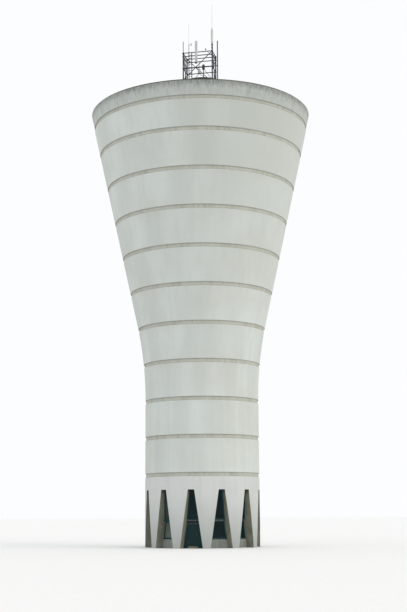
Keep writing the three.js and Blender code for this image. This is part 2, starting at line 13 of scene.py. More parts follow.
import bmesh
import bpy
import numpy as np
from mathutils import Matrix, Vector
from numpy.typing import ArrayLike


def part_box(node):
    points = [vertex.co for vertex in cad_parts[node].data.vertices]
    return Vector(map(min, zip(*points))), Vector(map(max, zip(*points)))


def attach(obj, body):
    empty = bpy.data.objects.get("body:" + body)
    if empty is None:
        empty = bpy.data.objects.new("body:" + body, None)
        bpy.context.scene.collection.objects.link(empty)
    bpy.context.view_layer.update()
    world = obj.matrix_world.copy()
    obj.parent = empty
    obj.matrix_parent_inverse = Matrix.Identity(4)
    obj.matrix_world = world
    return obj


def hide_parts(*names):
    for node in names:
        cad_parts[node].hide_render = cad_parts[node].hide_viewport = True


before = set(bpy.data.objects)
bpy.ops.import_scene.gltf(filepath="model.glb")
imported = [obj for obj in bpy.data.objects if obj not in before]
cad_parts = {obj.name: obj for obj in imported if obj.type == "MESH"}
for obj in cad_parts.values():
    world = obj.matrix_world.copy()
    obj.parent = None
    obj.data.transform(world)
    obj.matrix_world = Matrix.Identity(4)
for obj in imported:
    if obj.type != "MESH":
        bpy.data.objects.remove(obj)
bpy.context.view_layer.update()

log = logging.getLogger("water_tower")

MM = 0.001

# Rows in a full turn of the tower and of its roof house
TURN_SIDES = 288
HOUSE_SIDES = 144

# Facets round a spindle and a bolt's head
SPINDLE_SIDES = 32
BOLT_SIDES = 6

SMOOTH_LIMIT = math.radians(35)
WELD_DISTANCE = 0.02 * MM

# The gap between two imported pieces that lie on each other
SEAM = 0.35 * MM

# Attributes of the meshes that the finishes read
FALL = "fall"
TONE = "tone"

# Grains of noise to a metre along x, y and z
Grains = tuple[float, float, float]


class Body(Enum):
    """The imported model's bodies that a piece can ride on."""

    TOWER = "tower"
    DOOR = "door_leaf"


class Slot(Enum):
    """The record's material slots."""

    PAINTED = "painted_concrete"
    WEATHERED = "weathered_concrete"
    BARE = "bare_concrete"
    JOINERY = "petrol_joinery"
    ZINC = "zinc_cover"
    STEEL = "frame_steel"
    PALE = "pale_plastic"
    BLACK = "black_plastic"


class WallFace(IntEnum):
    """Material numbers on the wall, the rim and the legs."""

    PAINT = 0
    BARE = 1


class BayFace(IntEnum):
    """Material numbers in the bays. The entrance has the first four."""

    JOINERY = 0
    PANE = 1
    FLASHING = 2
    CONCRETE = 3
    RAKED_SKY_REFLECTION_PANE = 4
    UPRIGHT_SKY_REFLECTION_PANE = 5


class LeafFace(IntEnum):
    """Material numbers on the door leaf."""

    BOARDS = 0
    COVER = 1
    FITTINGS = 2


class CarriedFace(IntEnum):
    """Material numbers on what the aerial frame carries."""

    SHELL = 0
    FITTINGS = 1
    PLUG = 2


def linear(hex_colour: str) -> tuple[float, float, float, float]:
    """Turns an sRGB hex colour to linear light.

    Args:
        hex_colour: Six hex digits, such as "c9cecb".

    Returns:
        Red, green, blue and an alpha of 1.
    """
    parts = np.array([int(hex_colour[i:i + 2], 16) for i in (0, 2, 4)]) / 255
    low = parts / 12.92
    high = ((parts + 0.055) / 1.055) ** 2.4
    red, green, blue = np.where(parts <= 0.04045, low, high)
    return float(red), float(green), float(blue), 1.0


def add_node(
    tree: bpy.types.NodeTree,
    kind: str,
    settings: dict[str, object] | None = None,
    inputs: dict[str | int, object] | None = None,
) -> bpy.types.Node:
    """Adds a node with its settings, and with its inputs set or linked.

    Args:
        tree: The tree that takes the node.
        kind: Blender's node type, such as "ShaderNodeTexNoise".
        settings: Properties of the node by name.
        inputs: Input values by socket name or number; an output socket is linked instead.

    Returns:
        The new node.
    """
    node = tree.nodes.new(kind)
    for name, value in (settings or {}).items():
        setattr(node, name, value)
    for socket, value in (inputs or {}).items():
        if isinstance(value, bpy.types.NodeSocket):
            tree.links.new(value, node.inputs[socket])
        else:
            node.inputs[socket].default_value = value
    return node


@dataclass(frozen=True)
class Finish:
    """A surface finish. Each kind wires its own nodes round one Principled shader."""

    name: str

    def wire(self, tree: bpy.types.NodeTree, shader: bpy.types.Node, place: bpy.types.NodeSocket) -> None:
        """Adds the finish's nodes; each kind of finish has its own."""
        raise NotImplementedError

    def material(self) -> bpy.types.Material:
        """Makes the finish's material once, and returns the same one afterwards."""
        made = bpy.data.materials.get(self.name)
        if made is not None:
            return made
        made = bpy.data.materials.new(self.name)
        made.use_nodes = True
        tree = made.node_tree
        tree.nodes.clear()
        shader = add_node(tree, "ShaderNodeBsdfPrincipled")
        output = add_node(tree, "ShaderNodeOutputMaterial", inputs={"Surface": shader.outputs[0]})
        output.is_active_output = True
        place = add_node(tree, "ShaderNodeTexCoord").outputs["Object"]
        self.wire(tree, shader, place)
        return made


def noise(
    tree: bpy.types.NodeTree,
    place: bpy.types.NodeSocket,
    per_metre: Grains,
    detail: float = 2.0,
) -> bpy.types.NodeSocket:
    """Adds noise whose grain is set for each axis.

    Args:
        tree: The material's tree.
        place: The coordinates, in metres.
        per_metre: How many grains there are to a metre along x, y and z.
        detail: Octaves of finer noise.

    Returns:
        The noise's value, from 0 to 1 round 0.5.
    """
    mapping = add_node(tree, "ShaderNodeMapping", inputs={"Vector": place, "Scale": per_metre})
    inputs = {"Vector": mapping.outputs[0], "Scale": 1.0, "Detail": detail, "Roughness": 0.55}
    return add_node(tree, "ShaderNodeTexNoise", inputs=inputs).outputs["Fac"]


def ramp(
    tree: bpy.types.NodeTree,
    value: bpy.types.NodeSocket,
    low: float,
    high: float,
    to: tuple[float, float] = (0.0, 1.0),
) -> bpy.types.NodeSocket:
    """Maps a value from low..high to the range in to, smoothly and clamped."""
    settings = {"interpolation_type": "SMOOTHSTEP"}
    inputs = {"Value": value, "From Min": low, "From Max": high, "To Min": to[0], "To Max": to[1]}
    return add_node(tree, "ShaderNodeMapRange", settings, inputs).outputs[0]


def times(tree: bpy.types.NodeTree, a: bpy.types.NodeSocket, b: object) -> bpy.types.NodeSocket:
    """Multiplies a value by a value or a number."""
    return add_node(tree, "ShaderNodeMath", {"operation": "MULTIPLY"}, {0: a, 1: b}).outputs[0]


def blend_colour(
    tree: bpy.types.NodeTree,
    share: bpy.types.NodeSocket,
    first: object,
    second: object,
) -> bpy.types.NodeSocket:
    """Mixes two colours by a share from 0, the first, to 1, the second."""
    node = add_node(tree, "ShaderNodeMix", {"data_type": "RGBA"}, {0: share, 6: first, 7: second})
    return node.outputs[2]


def attribute(tree: bpy.types.NodeTree, name: str) -> bpy.types.NodeSocket:
    """Reads one of the mesh's own attributes as a value."""
    return add_node(tree, "ShaderNodeAttribute", {"attribute_name": name}).outputs["Fac"]


def bump(
    tree: bpy.types.NodeTree,
    shader: bpy.types.Node,
    height: bpy.types.NodeSocket,
    depth: float,
    strength: float = 0.6,
) -> None:
    """Links a height, worth so many metres from 0 to 1, to the shader's normal."""
    inputs = {"Height": height, "Distance": depth, "Strength": strength}
    normal = add_node(tree, "ShaderNodeBump", inputs=inputs).outputs[0]
    tree.links.new(normal, shader.inputs["Normal"])


def finish_shader(
    tree: bpy.types.NodeTree,
    shader: bpy.types.Node,
    colour: bpy.types.NodeSocket,
    roughness: bpy.types.NodeSocket | float,
    specular: float = 0.5,
) -> None:
    """Links the colour to the shader, links or sets its roughness, and sets how much it shines."""
    tree.links.new(colour, shader.inputs["Base Color"])
    if isinstance(roughness, bpy.types.NodeSocket):
        tree.links.new(roughness, shader.inputs["Roughness"])
    else:
        shader.inputs["Roughness"].default_value = roughness
    shader.inputs["Specular IOR Level"].default_value = specular


@dataclass(frozen=True)
class MasonryPaint(Finish):
    """Matt masonry paint rolled on cast concrete: soft, chalky, with the shutter's grain under it.

    Rain leaves long faint streaks down it, and darker runs under a ledge, where the fall attribute is near 1.
    The tone attribute darkens whole stretches of it: shutter panels, splashes, and weathering with
    painted shade on one side.
    """

    paint: str
    patch: str
    streak_and_shade: str
    runs: str
    streak_share: float = 0.5
    run_share: float = 0.5
    run_start: float = 0.5
    edge_start: float = 0.93
    edge_share: float = 0.0
    roughness: float = 0.86
    specular: float = 0.3
    patch_grains: Grains = (0.33, 0.33, 0.5)
    streak_grains: Grains = (4.0, 4.0, 0.18)
    run_grains: Grains = (20.0, 20.0, 0.35)
    cast_grains: Grains = (70.0, 70.0, 30.0)

    def wire(self, tree: bpy.types.NodeTree, shader: bpy.types.Node, place: bpy.types.NodeSocket) -> None:
        """Mixes patches three metres wide, streaks 250 mm wide and runs 50 mm wide into the paint."""
        patches = ramp(tree, noise(tree, place, self.patch_grains, 3.0), 0.35, 0.68)
        colour = blend_colour(tree, patches, linear(self.paint), linear(self.patch))
        # The tone: panel tones, splashes, and weathering with painted shade on one side
        panels = times(tree, attribute(tree, TONE), 0.5)
        colour = blend_colour(tree, panels, colour, linear(self.streak_and_shade))
        streaks = ramp(tree, noise(tree, place, self.streak_grains, 3.0), 0.42, 0.78)
        streaks = times(tree, streaks, self.streak_share)
        colour = blend_colour(tree, streaks, colour, linear(self.streak_and_shade))
        fine = ramp(tree, noise(tree, place, self.run_grains, 3.0), 0.44, 0.66)
        reach = ramp(tree, attribute(tree, FALL), self.run_start, 1.0)
        wet = times(tree, times(tree, fine, reach), self.run_share)
        colour = blend_colour(tree, wet, colour, linear(self.runs))
        edge = ramp(tree, attribute(tree, FALL), self.edge_start, 1.0, (0.0, self.edge_share))
        colour = blend_colour(tree, edge, colour, linear(self.runs))
        finish_shader(tree, shader, colour, self.roughness, self.specular)
        bump(tree, shader, noise(tree, place, self.cast_grains, 4.0), 1.5 * MM, 0.5)


@dataclass(frozen=True)
class RawConcrete(Finish):
    """Cast concrete with no paint: beige-grey, mottled, pitted by small air bubbles.

    It's darkest where the fall attribute is near 1: painted shade, with some dirt, close under an
    overhang, and a darker crown on the coping.
    """

    face: str
    mottle: str
    damp_and_shade: str
    shade: float = 0.85
    roughness: float = 0.9
    specular: float = 0.25
    mottle_grains: Grains = (2.2, 2.2, 1.4)
    streak_grains: Grains = (9.0, 9.0, 0.6)
    pit_grains: Grains = (55.0, 55.0, 55.0)

    def wire(self, tree: bpy.types.NodeTree, shader: bpy.types.Node, place: bpy.types.NodeSocket) -> None:
        """Mottles the face, streaks it, and darkens it towards the overhang with painted shade."""
        mottles = ramp(tree, noise(tree, place, self.mottle_grains, 4.0), 0.35, 0.7)
        colour = blend_colour(tree, mottles, linear(self.face), linear(self.mottle))
        streaks = ramp(tree, noise(tree, place, self.streak_grains, 3.0), 0.5, 0.75, (0.0, 0.35))
        colour = blend_colour(tree, streaks, colour, linear(self.damp_and_shade))
        # Painted shade: darker towards a fall of 1, close under an overhang.
        shade = ramp(tree, attribute(tree, FALL), 0.45, 1.0, (0.0, self.shade))
        colour = blend_colour(tree, shade, colour, linear(self.damp_and_shade))
        finish_shader(tree, shader, colour, self.roughness, self.specular)
        bump(tree, shader, noise(tree, place, self.pit_grains, 5.0), 2.0 * MM, 0.6)


@dataclass(frozen=True)
class JoineryPaint(Finish):
    """Satin petrol-blue paint brushed on planed boards and steel frames, dulled by weather."""

    paint: str
    faded: str
    roughness: float = 0.5
    specular: float = 0.25
    stroke_grains: Grains = (14.0, 14.0, 0.8)
    board_grains: Grains = (60.0, 60.0, 4.0)

    def wire(self, tree: bpy.types.NodeTree, shader: bpy.types.Node, place: bpy.types.NodeSocket) -> None:
        """Fades the paint in upright strokes, with the grain of the boards in the bump."""
        strokes = ramp(tree, noise(tree, place, self.stroke_grains, 3.0), 0.35, 0.75)
        colour = blend_colour(tree, strokes, linear(self.paint), linear(self.faded))
        rough = ramp(tree, strokes, 0.0, 1.0, (self.roughness - 0.08, self.roughness + 0.12))
        finish_shader(tree, shader, colour, rough, self.specular)
        bump(tree, shader, noise(tree, place, self.board_grains, 3.0), 0.8 * MM, 0.5)


@dataclass(frozen=True)
class DarkGlazing(Finish):
    """Float glass before an unlit room; glossy, slightly uneven. Its two clouded colours are painted: the
    room's

    shade and the sky's reflection. It's darkest where the fall attribute is near 1, as painted shade under
    the head of an opening.
    """

    shade_and_reflection: str
    sheen: str
    dark: str = "020709"
    shade: float = 0.6
    roughness: float = 0.09
    specular: float = 0.12
    cloud_grains: Grains = (1.6, 1.6, 0.7)
    wave_grains: Grains = (3.0, 3.0, 2.0)

    def wire(self, tree: bpy.types.NodeTree, shader: bpy.types.Node, place: bpy.types.NodeSocket) -> None:
        """Clouds the painted room shade and sky reflection on the pane, and waves the glass a little."""
        clouds = ramp(tree, noise(tree, place, self.cloud_grains, 2.0), 0.35, 0.72)
        colour = blend_colour(tree, clouds, linear(self.shade_and_reflection), linear(self.sheen))
        # Painted shade under the head of the opening.
        shade = ramp(tree, attribute(tree, FALL), 0.6, 1.0, (0.0, self.shade))
        colour = blend_colour(tree, shade, colour, linear(self.dark))
        finish_shader(tree, shader, colour, self.roughness, self.specular)
        bump(tree, shader, noise(tree, place, self.wave_grains, 1.0), 1.2 * MM, 0.35)


@dataclass(frozen=True)
class SheetMetal(Finish):
    """Rolled or galvanised metal left to weather: dull, blotched with oxide."""

    metal: str
    oxide: str
    metallic: float = 0.8
    roughness: float = 0.5
    blotches: float = 9.0

    def wire(self, tree: bpy.types.NodeTree, shader: bpy.types.Node, place: bpy.types.NodeSocket) -> None:
        """Blotches the metal with oxide, which is rougher than the metal."""
        size = (self.blotches, self.blotches, self.blotches * 0.5)
        oxide = ramp(tree, noise(tree, place, size, 4.0), 0.4, 0.65)
        colour = blend_colour(tree, oxide, linear(self.metal), linear(self.oxide))
        rough = ramp(tree, oxide, 0.0, 1.0, (self.roughness - 0.1, self.roughness + 0.15))
        finish_shader(tree, shader, colour, rough)
        shader.inputs["Metallic"].default_value = self.metallic
        bump(tree, shader, oxide, 0.3 * MM, 0.4)


@dataclass(frozen=True)
class MouldedPlastic(Finish):
    """Moulded plastic, glass fibre or a poured coat, chalked in soft clouds."""

    body: str
    chalk: str
    roughness: float = 0.5
    chalk_grains: Grains = (7.0, 7.0, 2.0)
    skin_grains: Grains = (90.0, 90.0, 90.0)

    def wire(self, tree: bpy.types.NodeTree, shader: bpy.types.Node, place: bpy.types.NodeSocket) -> None:
        """Chalks the plastic in soft upright clouds, over a skin that isn't quite smooth."""
        chalk = ramp(tree, noise(tree, place, self.chalk_grains, 3.0), 0.4, 0.7)
        colour = blend_colour(tree, chalk, linear(self.body), linear(self.chalk))
        finish_shader(tree, shader, colour, self.roughness)
        bump(tree, shader, noise(tree, place, self.skin_grains, 2.0), 0.3 * MM, 0.3)


WALL_PAINT = MasonryPaint(
    "wall_masonry_paint", "cbd1ce", "c4c8c3", "b7bcb7", "9da19b",
    streak_share=0.35, run_share=0.12, run_start=0.75,
)
RIM_PAINT = MasonryPaint(
    "rim_masonry_paint", "b7bcb9", "b4b9b5", "979b96", "545854",
    streak_share=0.42, run_start=0.0, edge_start=0.5, edge_share=0.4, roughness=0.9,
)
LEG_PAINT = MasonryPaint(
    "leg_masonry_paint", "c8cbca", "c1c5c3", "8f9491", "a4a69e", streak_share=0.14, run_share=0.0
)
BAND_CONCRETE = RawConcrete("band_bare_concrete", "b8bab0", "aeb0a5", "7e8078", shade=0.45)
REVEAL_CONCRETE = RawConcrete("reveal_bare_concrete", "868779", "717265", "484940")
# Bare concrete for the low walls, darkened with painted shade
SHADED_LOW_WALL_CONCRETE = RawConcrete("low_wall_concrete_painted_shade", "8c918c", "7d827c", "5a5e58")
COPING_CONCRETE = RawConcrete("coping_stained_concrete", "6a6e65", "5b5f57", "454842")
ROOF_CONCRETE = RawConcrete("roof_screed_concrete", "8d8c84", "77766e", "55554f")
HOUSE_CONCRETE = RawConcrete("roof_house_bare_concrete", "a58d7d", "917c6e", "5d5148")
JOINERY = JoineryPaint("petrol_joinery_paint", "12383b", "1d4a4b")
BOARDS = JoineryPaint("petrol_board_paint", "05282a", "0d3739", roughness=0.6)
GLAZING = DarkGlazing("dark_float_glass", "04191f", "0a282e")
# Glass with a painted reflection of the sky, for the side bays
SKY_REFLECTION_GLAZING = DarkGlazing("painted_sky_reflection_glass", "38443d", "4c554f")
BRIGHT_SKY_REFLECTION_GLAZING = DarkGlazing("painted_bright_sky_reflection_glass", "5a625c", "717870")
FLASHING = SheetMetal("transom_flashing_zinc", "565f5f", "434b4b", metallic=0.5, roughness=0.55)
ZINC = SheetMetal("roof_weathered_zinc", "41464b", "2f3337", metallic=0.6, roughness=0.55)
STEEL = SheetMetal("galvanised_frame_steel", "43505a", "2f3a43", metallic=0.6, roughness=0.55)
DULL_STEEL = SheetMetal("dull_steel_fittings", "4c5152", "3a3f40", blotches=20.0)
GLASS_FIBRE = MouldedPlastic("pale_glass_fibre", "c9ccc8", "b4b7b2")
BLACK_PLASTIC = MouldedPlastic("black_moulded_plastic", "1d2226", "2f3539", roughness=0.6)
FLOOR_COAT = MouldedPlastic("studio_floor_paint", "edeeee", "eaebeb", roughness=0.9)

BOX_CORNERS = np.array([[x, y, z] for x in (-1, 1) for y in (-1, 1) for z in (-1, 1)], float)
BOX_FACES = [[0, 1, 3, 2], [4, 6, 7, 5], [0, 4, 5, 1], [2, 3, 7, 6], [0, 2, 6, 4], [1, 5, 7, 3]]


class Mesher:
    """Gathers the surfaces of one piece and makes them one mesh with closed seams."""

    def __init__(self) -> None:
        """Starts with no points and no faces."""
        self.points: list[np.ndarray] = []
        self.fall: list[np.ndarray] = []
        self.tone: list[np.ndarray] = []
        self.faces: list[list[int]] = []
        self.slots: list[np.ndarray] = []
        self.count = 0

    def add(
        self,
        points: np.ndarray,
        faces: list[list[int]],
        slots: np.ndarray | int = 0,
        fall: np.ndarray | float = 0.0,
        tone: np.ndarray | float = 0.0,
    ) -> None:
        """Adds points and the faces between them.

        Args:
            points: An array of n points.
            faces: Lists of indices into those points.
            slots: The material's number for each face, or one for all.
            fall: How near the top of its fall each point is, from 0 to 1.
            tone: How dark each point's paint is, from panel tones, splashes, weathering and painted
                shade; 0 is the palest.
        """
        flat = points.reshape(-1, 3)
        self.points.append(flat)
        self.fall.append(np.broadcast_to(np.asarray(fall, float), points.shape[:-1]).ravel())
        self.tone.append(np.broadcast_to(np.asarray(tone, float), points.shape[:-1]).ravel())
        self.faces += [[self.count + i for i in face] for face in faces]
        self.slots.append(np.broadcast_to(np.asarray(slots, int).ravel(), (len(faces),)))
        self.count += len(flat)

    def grid(
        self,
        points: np.ndarray,
        slots: np.ndarray | int = 0,
        fall: np.ndarray | float = 0.0,
        tone: np.ndarray | float = 0.0,
        close: tuple[bool, bool] = (False, False),
    ) -> None:
        """Adds a grid of quads; a closed direction joins its last row or column to its first.

        Args:
            points: An array of rows by columns of points.
            slots: Material numbers, one for all or one for each column of quads.
            fall: The fall attribute for each point or column of points.
            tone: The tone attribute for each point.
            close: Whether the rows and the columns close on themselves.
        """
        rows, columns = points.shape[:2]
        index = np.arange(rows * columns).reshape(rows, columns)
        if close[0]:
            index = np.vstack([index, index[:1]])
        if close[1]:
            index = np.hstack([index, index[:, :1]])
        quads = np.stack([index[:-1, :-1], index[1:, :-1], index[1:, 1:], index[:-1, 1:]], axis=-1)
        chosen = np.broadcast_to(np.asarray(slots, int), quads.shape[:2])
        self.add(points, quads.reshape(-1, 4).tolist(), chosen, fall, tone)

    def boxes(
        self,
        centres: ArrayLike,
        sizes: ArrayLike,
        axes: ArrayLike | None = None,
        slot: int = 0,
    ) -> None:
        """Adds boxes: each corner is the centre plus half the size along each of three axes.

        Args:
            centres: One point or n of them.
            sizes: Full sizes along the axes, one row for all or one for each box.
            axes: Three unit rows, for all or for each box; the world's if left out.
            slot: The material's number.
        """
        centres = np.atleast_2d(np.asarray(centres, float))
        count = len(centres)
        sizes = np.broadcast_to(np.asarray(sizes, float), (count, 3))
        axes = np.broadcast_to(np.eye(3) if axes is None else np.asarray(axes, float), (count, 3, 3))
        local = BOX_CORNERS[None] * sizes[:, None] / 2
        corners = centres[:, None] + np.einsum("nkc,ncd->nkd", local, axes)
        faces = (np.arange(count)[:, None, None] * 8 + np.array(BOX_FACES)[None]).reshape(-1, 4)
        self.add(corners, faces.tolist(), slot)

    def rods(
        self,
        starts: ArrayLike,
        ends: ArrayLike,
        radius: float,
        sides: int = 12,
        slot: int = 0,
    ) -> None:
        """Adds round rods: a ring of points at each end, square to the line between them."""
        starts = np.atleast_2d(np.asarray(starts, float))
        ends = np.atleast_2d(np.asarray(ends, float))
        along = ends - starts
        along /= np.linalg.norm(along, axis=1, keepdims=True)
        reference = np.where(np.abs(along[:, 2:]) > 0.9, [[1.0, 0, 0]], [[0, 0, 1.0]])
        side = np.cross(along, reference)
        side /= np.linalg.norm(side, axis=1, keepdims=True)
        other = np.cross(along, side)
        angle = np.linspace(0, 2 * math.pi, sides, endpoint=False)
        cosine, sine = np.cos(angle)[None, :, None], np.sin(angle)[None, :, None]
        ring = radius * (cosine * side[:, None] + sine * other[:, None])
        for start, end, offset in zip(starts, ends, ring):
            self.loft(np.stack([start + offset, end + offset]), slot)

    def loft(
        self,
        rings: np.ndarray,
        slots: np.ndarray | int = 0,
        fall: np.ndarray | float = 0.0,
        tone: np.ndarray | float = 0.0,
        cap_slot: int | None = None,
    ) -> None:
        """Adds a skin from ring to ring, and a face over the first ring and over the last one.

        Args:
            rings: An array of rings by points.
            slots: Material numbers, one for all or one for each side of the rings.
            fall: The fall attribute for each point.
            tone: The tone attribute for each point.
            cap_slot: The material of the two end faces, if it isn't the one in slots.
        """
        fall = np.broadcast_to(fall, rings.shape[:2])
        tone = np.broadcast_to(tone, rings.shape[:2])
        cap = slots if cap_slot is None else cap_slot
        self.grid(rings, slots, fall, tone, close=(False, True))
        for end in (0, -1):
            self.add(rings[end], [list(range(rings.shape[1]))], cap, fall[end], tone[end])

    def spindle(self, profile: np.ndarray, x: float, y: float, sides: int) -> None:
        """Adds a turned solid in material 0 on an upright axis.

        Args:
            profile: Points of radius and z, from the axis round to the axis.
            x: The axis's place along X.
            y: The axis's place along Y.
            sides: The number of rows in a full turn.
        """
        self.grid(turned(profile, sides) + np.array([x, y, 0]), close=(True, False))

    def mesh(self, name: str, finishes: Sequence[Finish], smooth: bool) -> bpy.types.Mesh:
        """Puts all that was gathered into one mesh, welds its seams and points its faces outwards.

        Args:
            name: The mesh's name.
            finishes: The finishes, in the order of the material numbers.
            smooth: Whether faces that meet at a low angle are shaded as one surface.

        Returns:
            The new mesh.
        """
        mesh = bpy.data.meshes.new(name)
        mesh.from_pydata(np.concatenate(self.points).tolist(), [], self.faces)
        mesh.polygons.foreach_set("material_index", np.concatenate(self.slots).astype(np.int32))
        for label, values in ((FALL, self.fall), (TONE, self.tone)):
            layer = mesh.attributes.new(label, "FLOAT", "POINT")
            layer.data.foreach_set("value", np.concatenate(values).astype(np.float32))
        work = bmesh.new()
        work.from_mesh(mesh)
        bmesh.ops.remove_doubles(work, verts=work.verts, dist=WELD_DISTANCE)
        bmesh.ops.recalc_face_normals(work, faces=work.faces)
        work.to_mesh(mesh)
        work.free()
        for finish in finishes:
            mesh.materials.append(finish.material())
        if smooth:
            mesh.shade_smooth()
            mesh.set_sharp_from_angle(angle=SMOOTH_LIMIT)
        return mesh

    def piece(
        self,
        name: str,
        finishes: Sequence[Finish],
        replaces: Sequence[str] = (),
        body: Body = Body.TOWER,
        smooth: bool = True,
    ) -> None:
        """Makes the piece, sets it on its body and reports it.

        Args:
            name: The piece's name.
            finishes: Its finishes, in the order of the material numbers.
            replaces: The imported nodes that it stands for.
            body: The body that it rides on.
            smooth: Whether it is shaded smooth where it bends gently.
        """
        made = bpy.data.objects.new(name, self.mesh(name, finishes, smooth))
        bpy.context.scene.collection.objects.link(made)
        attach(made, body.value)
        if replaces:
            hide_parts(*replaces)
        log.info("%s: %d points, %d faces", name, len(made.data.vertices), len(made.data.polygons))


def turned(profile: np.ndarray, sides: int = TURN_SIDES) -> np.ndarray:
    """Carries a profile round the tower's axis.

    A point at turn t is (radius sin t, -radius cos t, z), so the first row faces -Y.

    Args:
        profile: An array of n points of radius and z.
        sides: The number of rows in a full turn.

    Returns:
        An array of sides by n points.
    """
    angle = np.linspace(0, 2 * math.pi, sides, endpoint=False)[:, None]
    radius, z = profile[None, :, 0], profile[None, :, 1]
    return np.stack([radius * np.sin(angle), -radius * np.cos(angle), z + 0 * angle], axis=-1)


def side_share(degrees: float, power: float) -> np.ndarray:
    """How far each row of a turn faces a side: max(0, cos(angle - side)) to a power.

    Args:
        degrees: The side, counted from -Y towards +X.
        power: The higher it is, the narrower the side.

    Returns:
        A share from 0 to 1 for each of the turn's rows.
    """
    angle = np.linspace(0, 2 * math.pi, TURN_SIDES, endpoint=False) - math.radians(degrees)
    return np.clip(np.cos(angle), 0, 1) ** power


def turn(points: np.ndarray, degrees: float) -> np.ndarray:
    """Turns points about the tower's axis, from the -Y side towards +X."""
    c, s = math.cos(math.radians(degrees)), math.sin(math.radians(degrees))
    return points @ np.array([[c, s, 0], [-s, c, 0], [0, 0, 1.0]])


@dataclass(frozen=True)
class WallShape:
    """The wall's outer profile: a straight shaft, a tangent arc and a straight flare.

    Sides are degrees from -Y towards +X. The bands get less painted shade on the lit side. The paint of the
    flare and of the rim is darkest on the weather side, from weathering and painted shade.
    """

    shaft_radius: float = 2.34
    flare_slope: float = 0.221
    kink_height: float = 7.55
    arc_radius: float = 14.8
    thickness: float = 0.15
    band_height: float = 0.155
    band_depth: float = 0.03
    band_levels: int = 5
    arris: float = 0.006
    # The side that the lamp lights, where the bands get less painted shade, and how much less
    lit_side: float = 78.0
    lit_side_fade: float = 0.25
    # The side where weathering and painted shade darken the flare and the rim
    weather_and_shade_side: float = 50.0

    def radius(self, z: np.ndarray | float) -> np.ndarray:
        """Outer radius at a height.

        Below the arc it is the shaft's. Within the arc it is the shaft's radius plus R less the root of
        R squared less the squared height above the arc's start. Above it, it grows by the slope.

        Args:
            z: Heights.

        Returns:
            The radii at those heights.
        """
        z = np.asarray(z, float)
        half_turn = math.atan(self.flare_slope) / 2
        tangent = self.arc_radius * math.tan(half_turn)
        start = self.kink_height - tangent
        end = self.kink_height + tangent * math.cos(2 * half_turn)
        rise = np.clip(z - start, 0, end - start)
        arc = self.shaft_radius + self.arc_radius - np.sqrt(self.arc_radius**2 - rise**2)
        flare = self.shaft_radius + self.flare_slope * (z - self.kink_height)
        return np.where(z >= end, flare, arc)

    def band(self, bottom: float, setback: float = 0.0) -> tuple[np.ndarray, np.ndarray]:
        """A recessed band's profile: up its face, then out to the arris of the painted face over it.

        Args:
            bottom: The band's lower edge.
            setback: How far inside radius(z) the painted face lies.

        Returns:
            The points, and the fall at each: 0 at the bottom, and 1 under the painted face, where it paints
            shade and dirt on the band.
        """
        top = bottom + self.band_height
        z = np.append(np.linspace(bottom, top, self.band_levels), top)
        depth = np.append(np.full(self.band_levels, self.band_depth), self.arris)
        return np.stack([self.radius(z) - setback - depth, z], -1), (z - bottom) / self.band_height

    def band_fall(self, fall: np.ndarray) -> np.ndarray:
        """Spreads a profile's fall round the turn, with less painted shade on the band on the lit side.

        There the band's points, the profile's first ones, lose up to a share of their fall, and so of their
        painted shade.

        Args:
            fall: The fall at each point of the profile.

        Returns:
            The fall for each row of the turn and each point.
        """
        spread = np.tile(fall, (TURN_SIDES, 1))
        # Less painted shade on the band where the lamp lights it.
        lit_fade = 1 - self.lit_side_fade * side_share(self.lit_side, 4)
        spread[:, :self.band_levels + 1] *= lit_fade[:, None]
        return spread


WALL = WallShape()


@dataclass(frozen=True)
class BayShape:
    """The tapered openings between the legs.

    Half the width of an opening is half_width - taper * z - splay * (splay_radius - distance).
    """

    count: int = 12
    head: float = 2.27
    half_width: float = 0.459
    taper: float = 0.1497
    splay: float = 0.225
    splay_radius: float = 2.32
    knee: float = 1.1
    foot_inner: float = 1.9
    head_inner: float = 2.18

    @property
    def pitch(self) -> float:
        """Degrees from one bay to the next."""
        return 360 / self.count

    def width_at(self, z: np.ndarray | float, distance: np.ndarray | float) -> np.ndarray:
        """Half the width of an opening at a height and a distance in front of the axis."""
        return self.half_width - self.taper * np.asarray(z) - self.splay * (self.splay_radius - distance)

    def edge_angle(self, z: np.ndarray, radius: np.ndarray) -> np.ndarray:
        """The angle from the bay's middle to its side at a height and radius.

        The side is the line x = a + splay * y, and the circle x^2 + y^2 = r^2 meets it at
        y = (root((1 + splay^2) r^2 - a^2) - a splay) / (1 + splay^2).

        Args:
            z: Heights.
            radius: Radii, in an array that broadcasts with z.

        Returns:
            Angles in radians.
        """
        a = self.half_width - self.taper * z - self.splay * self.splay_radius
        y = (np.sqrt((1 + self.splay**2) * radius**2 - a**2) - a * self.splay) / (1 + self.splay**2)
        return np.arctan2(a + self.splay * y, y)

    def inner_radius(self, z: np.ndarray) -> np.ndarray:
        """Radius of the legs' inner face, upright to the knee and leaning out above it."""
        share = np.clip((z - self.knee) / (self.head - self.knee), 0, 1)
        return self.foot_inner + share * (self.head_inner - self.foot_inner)


BAY = BayShape()


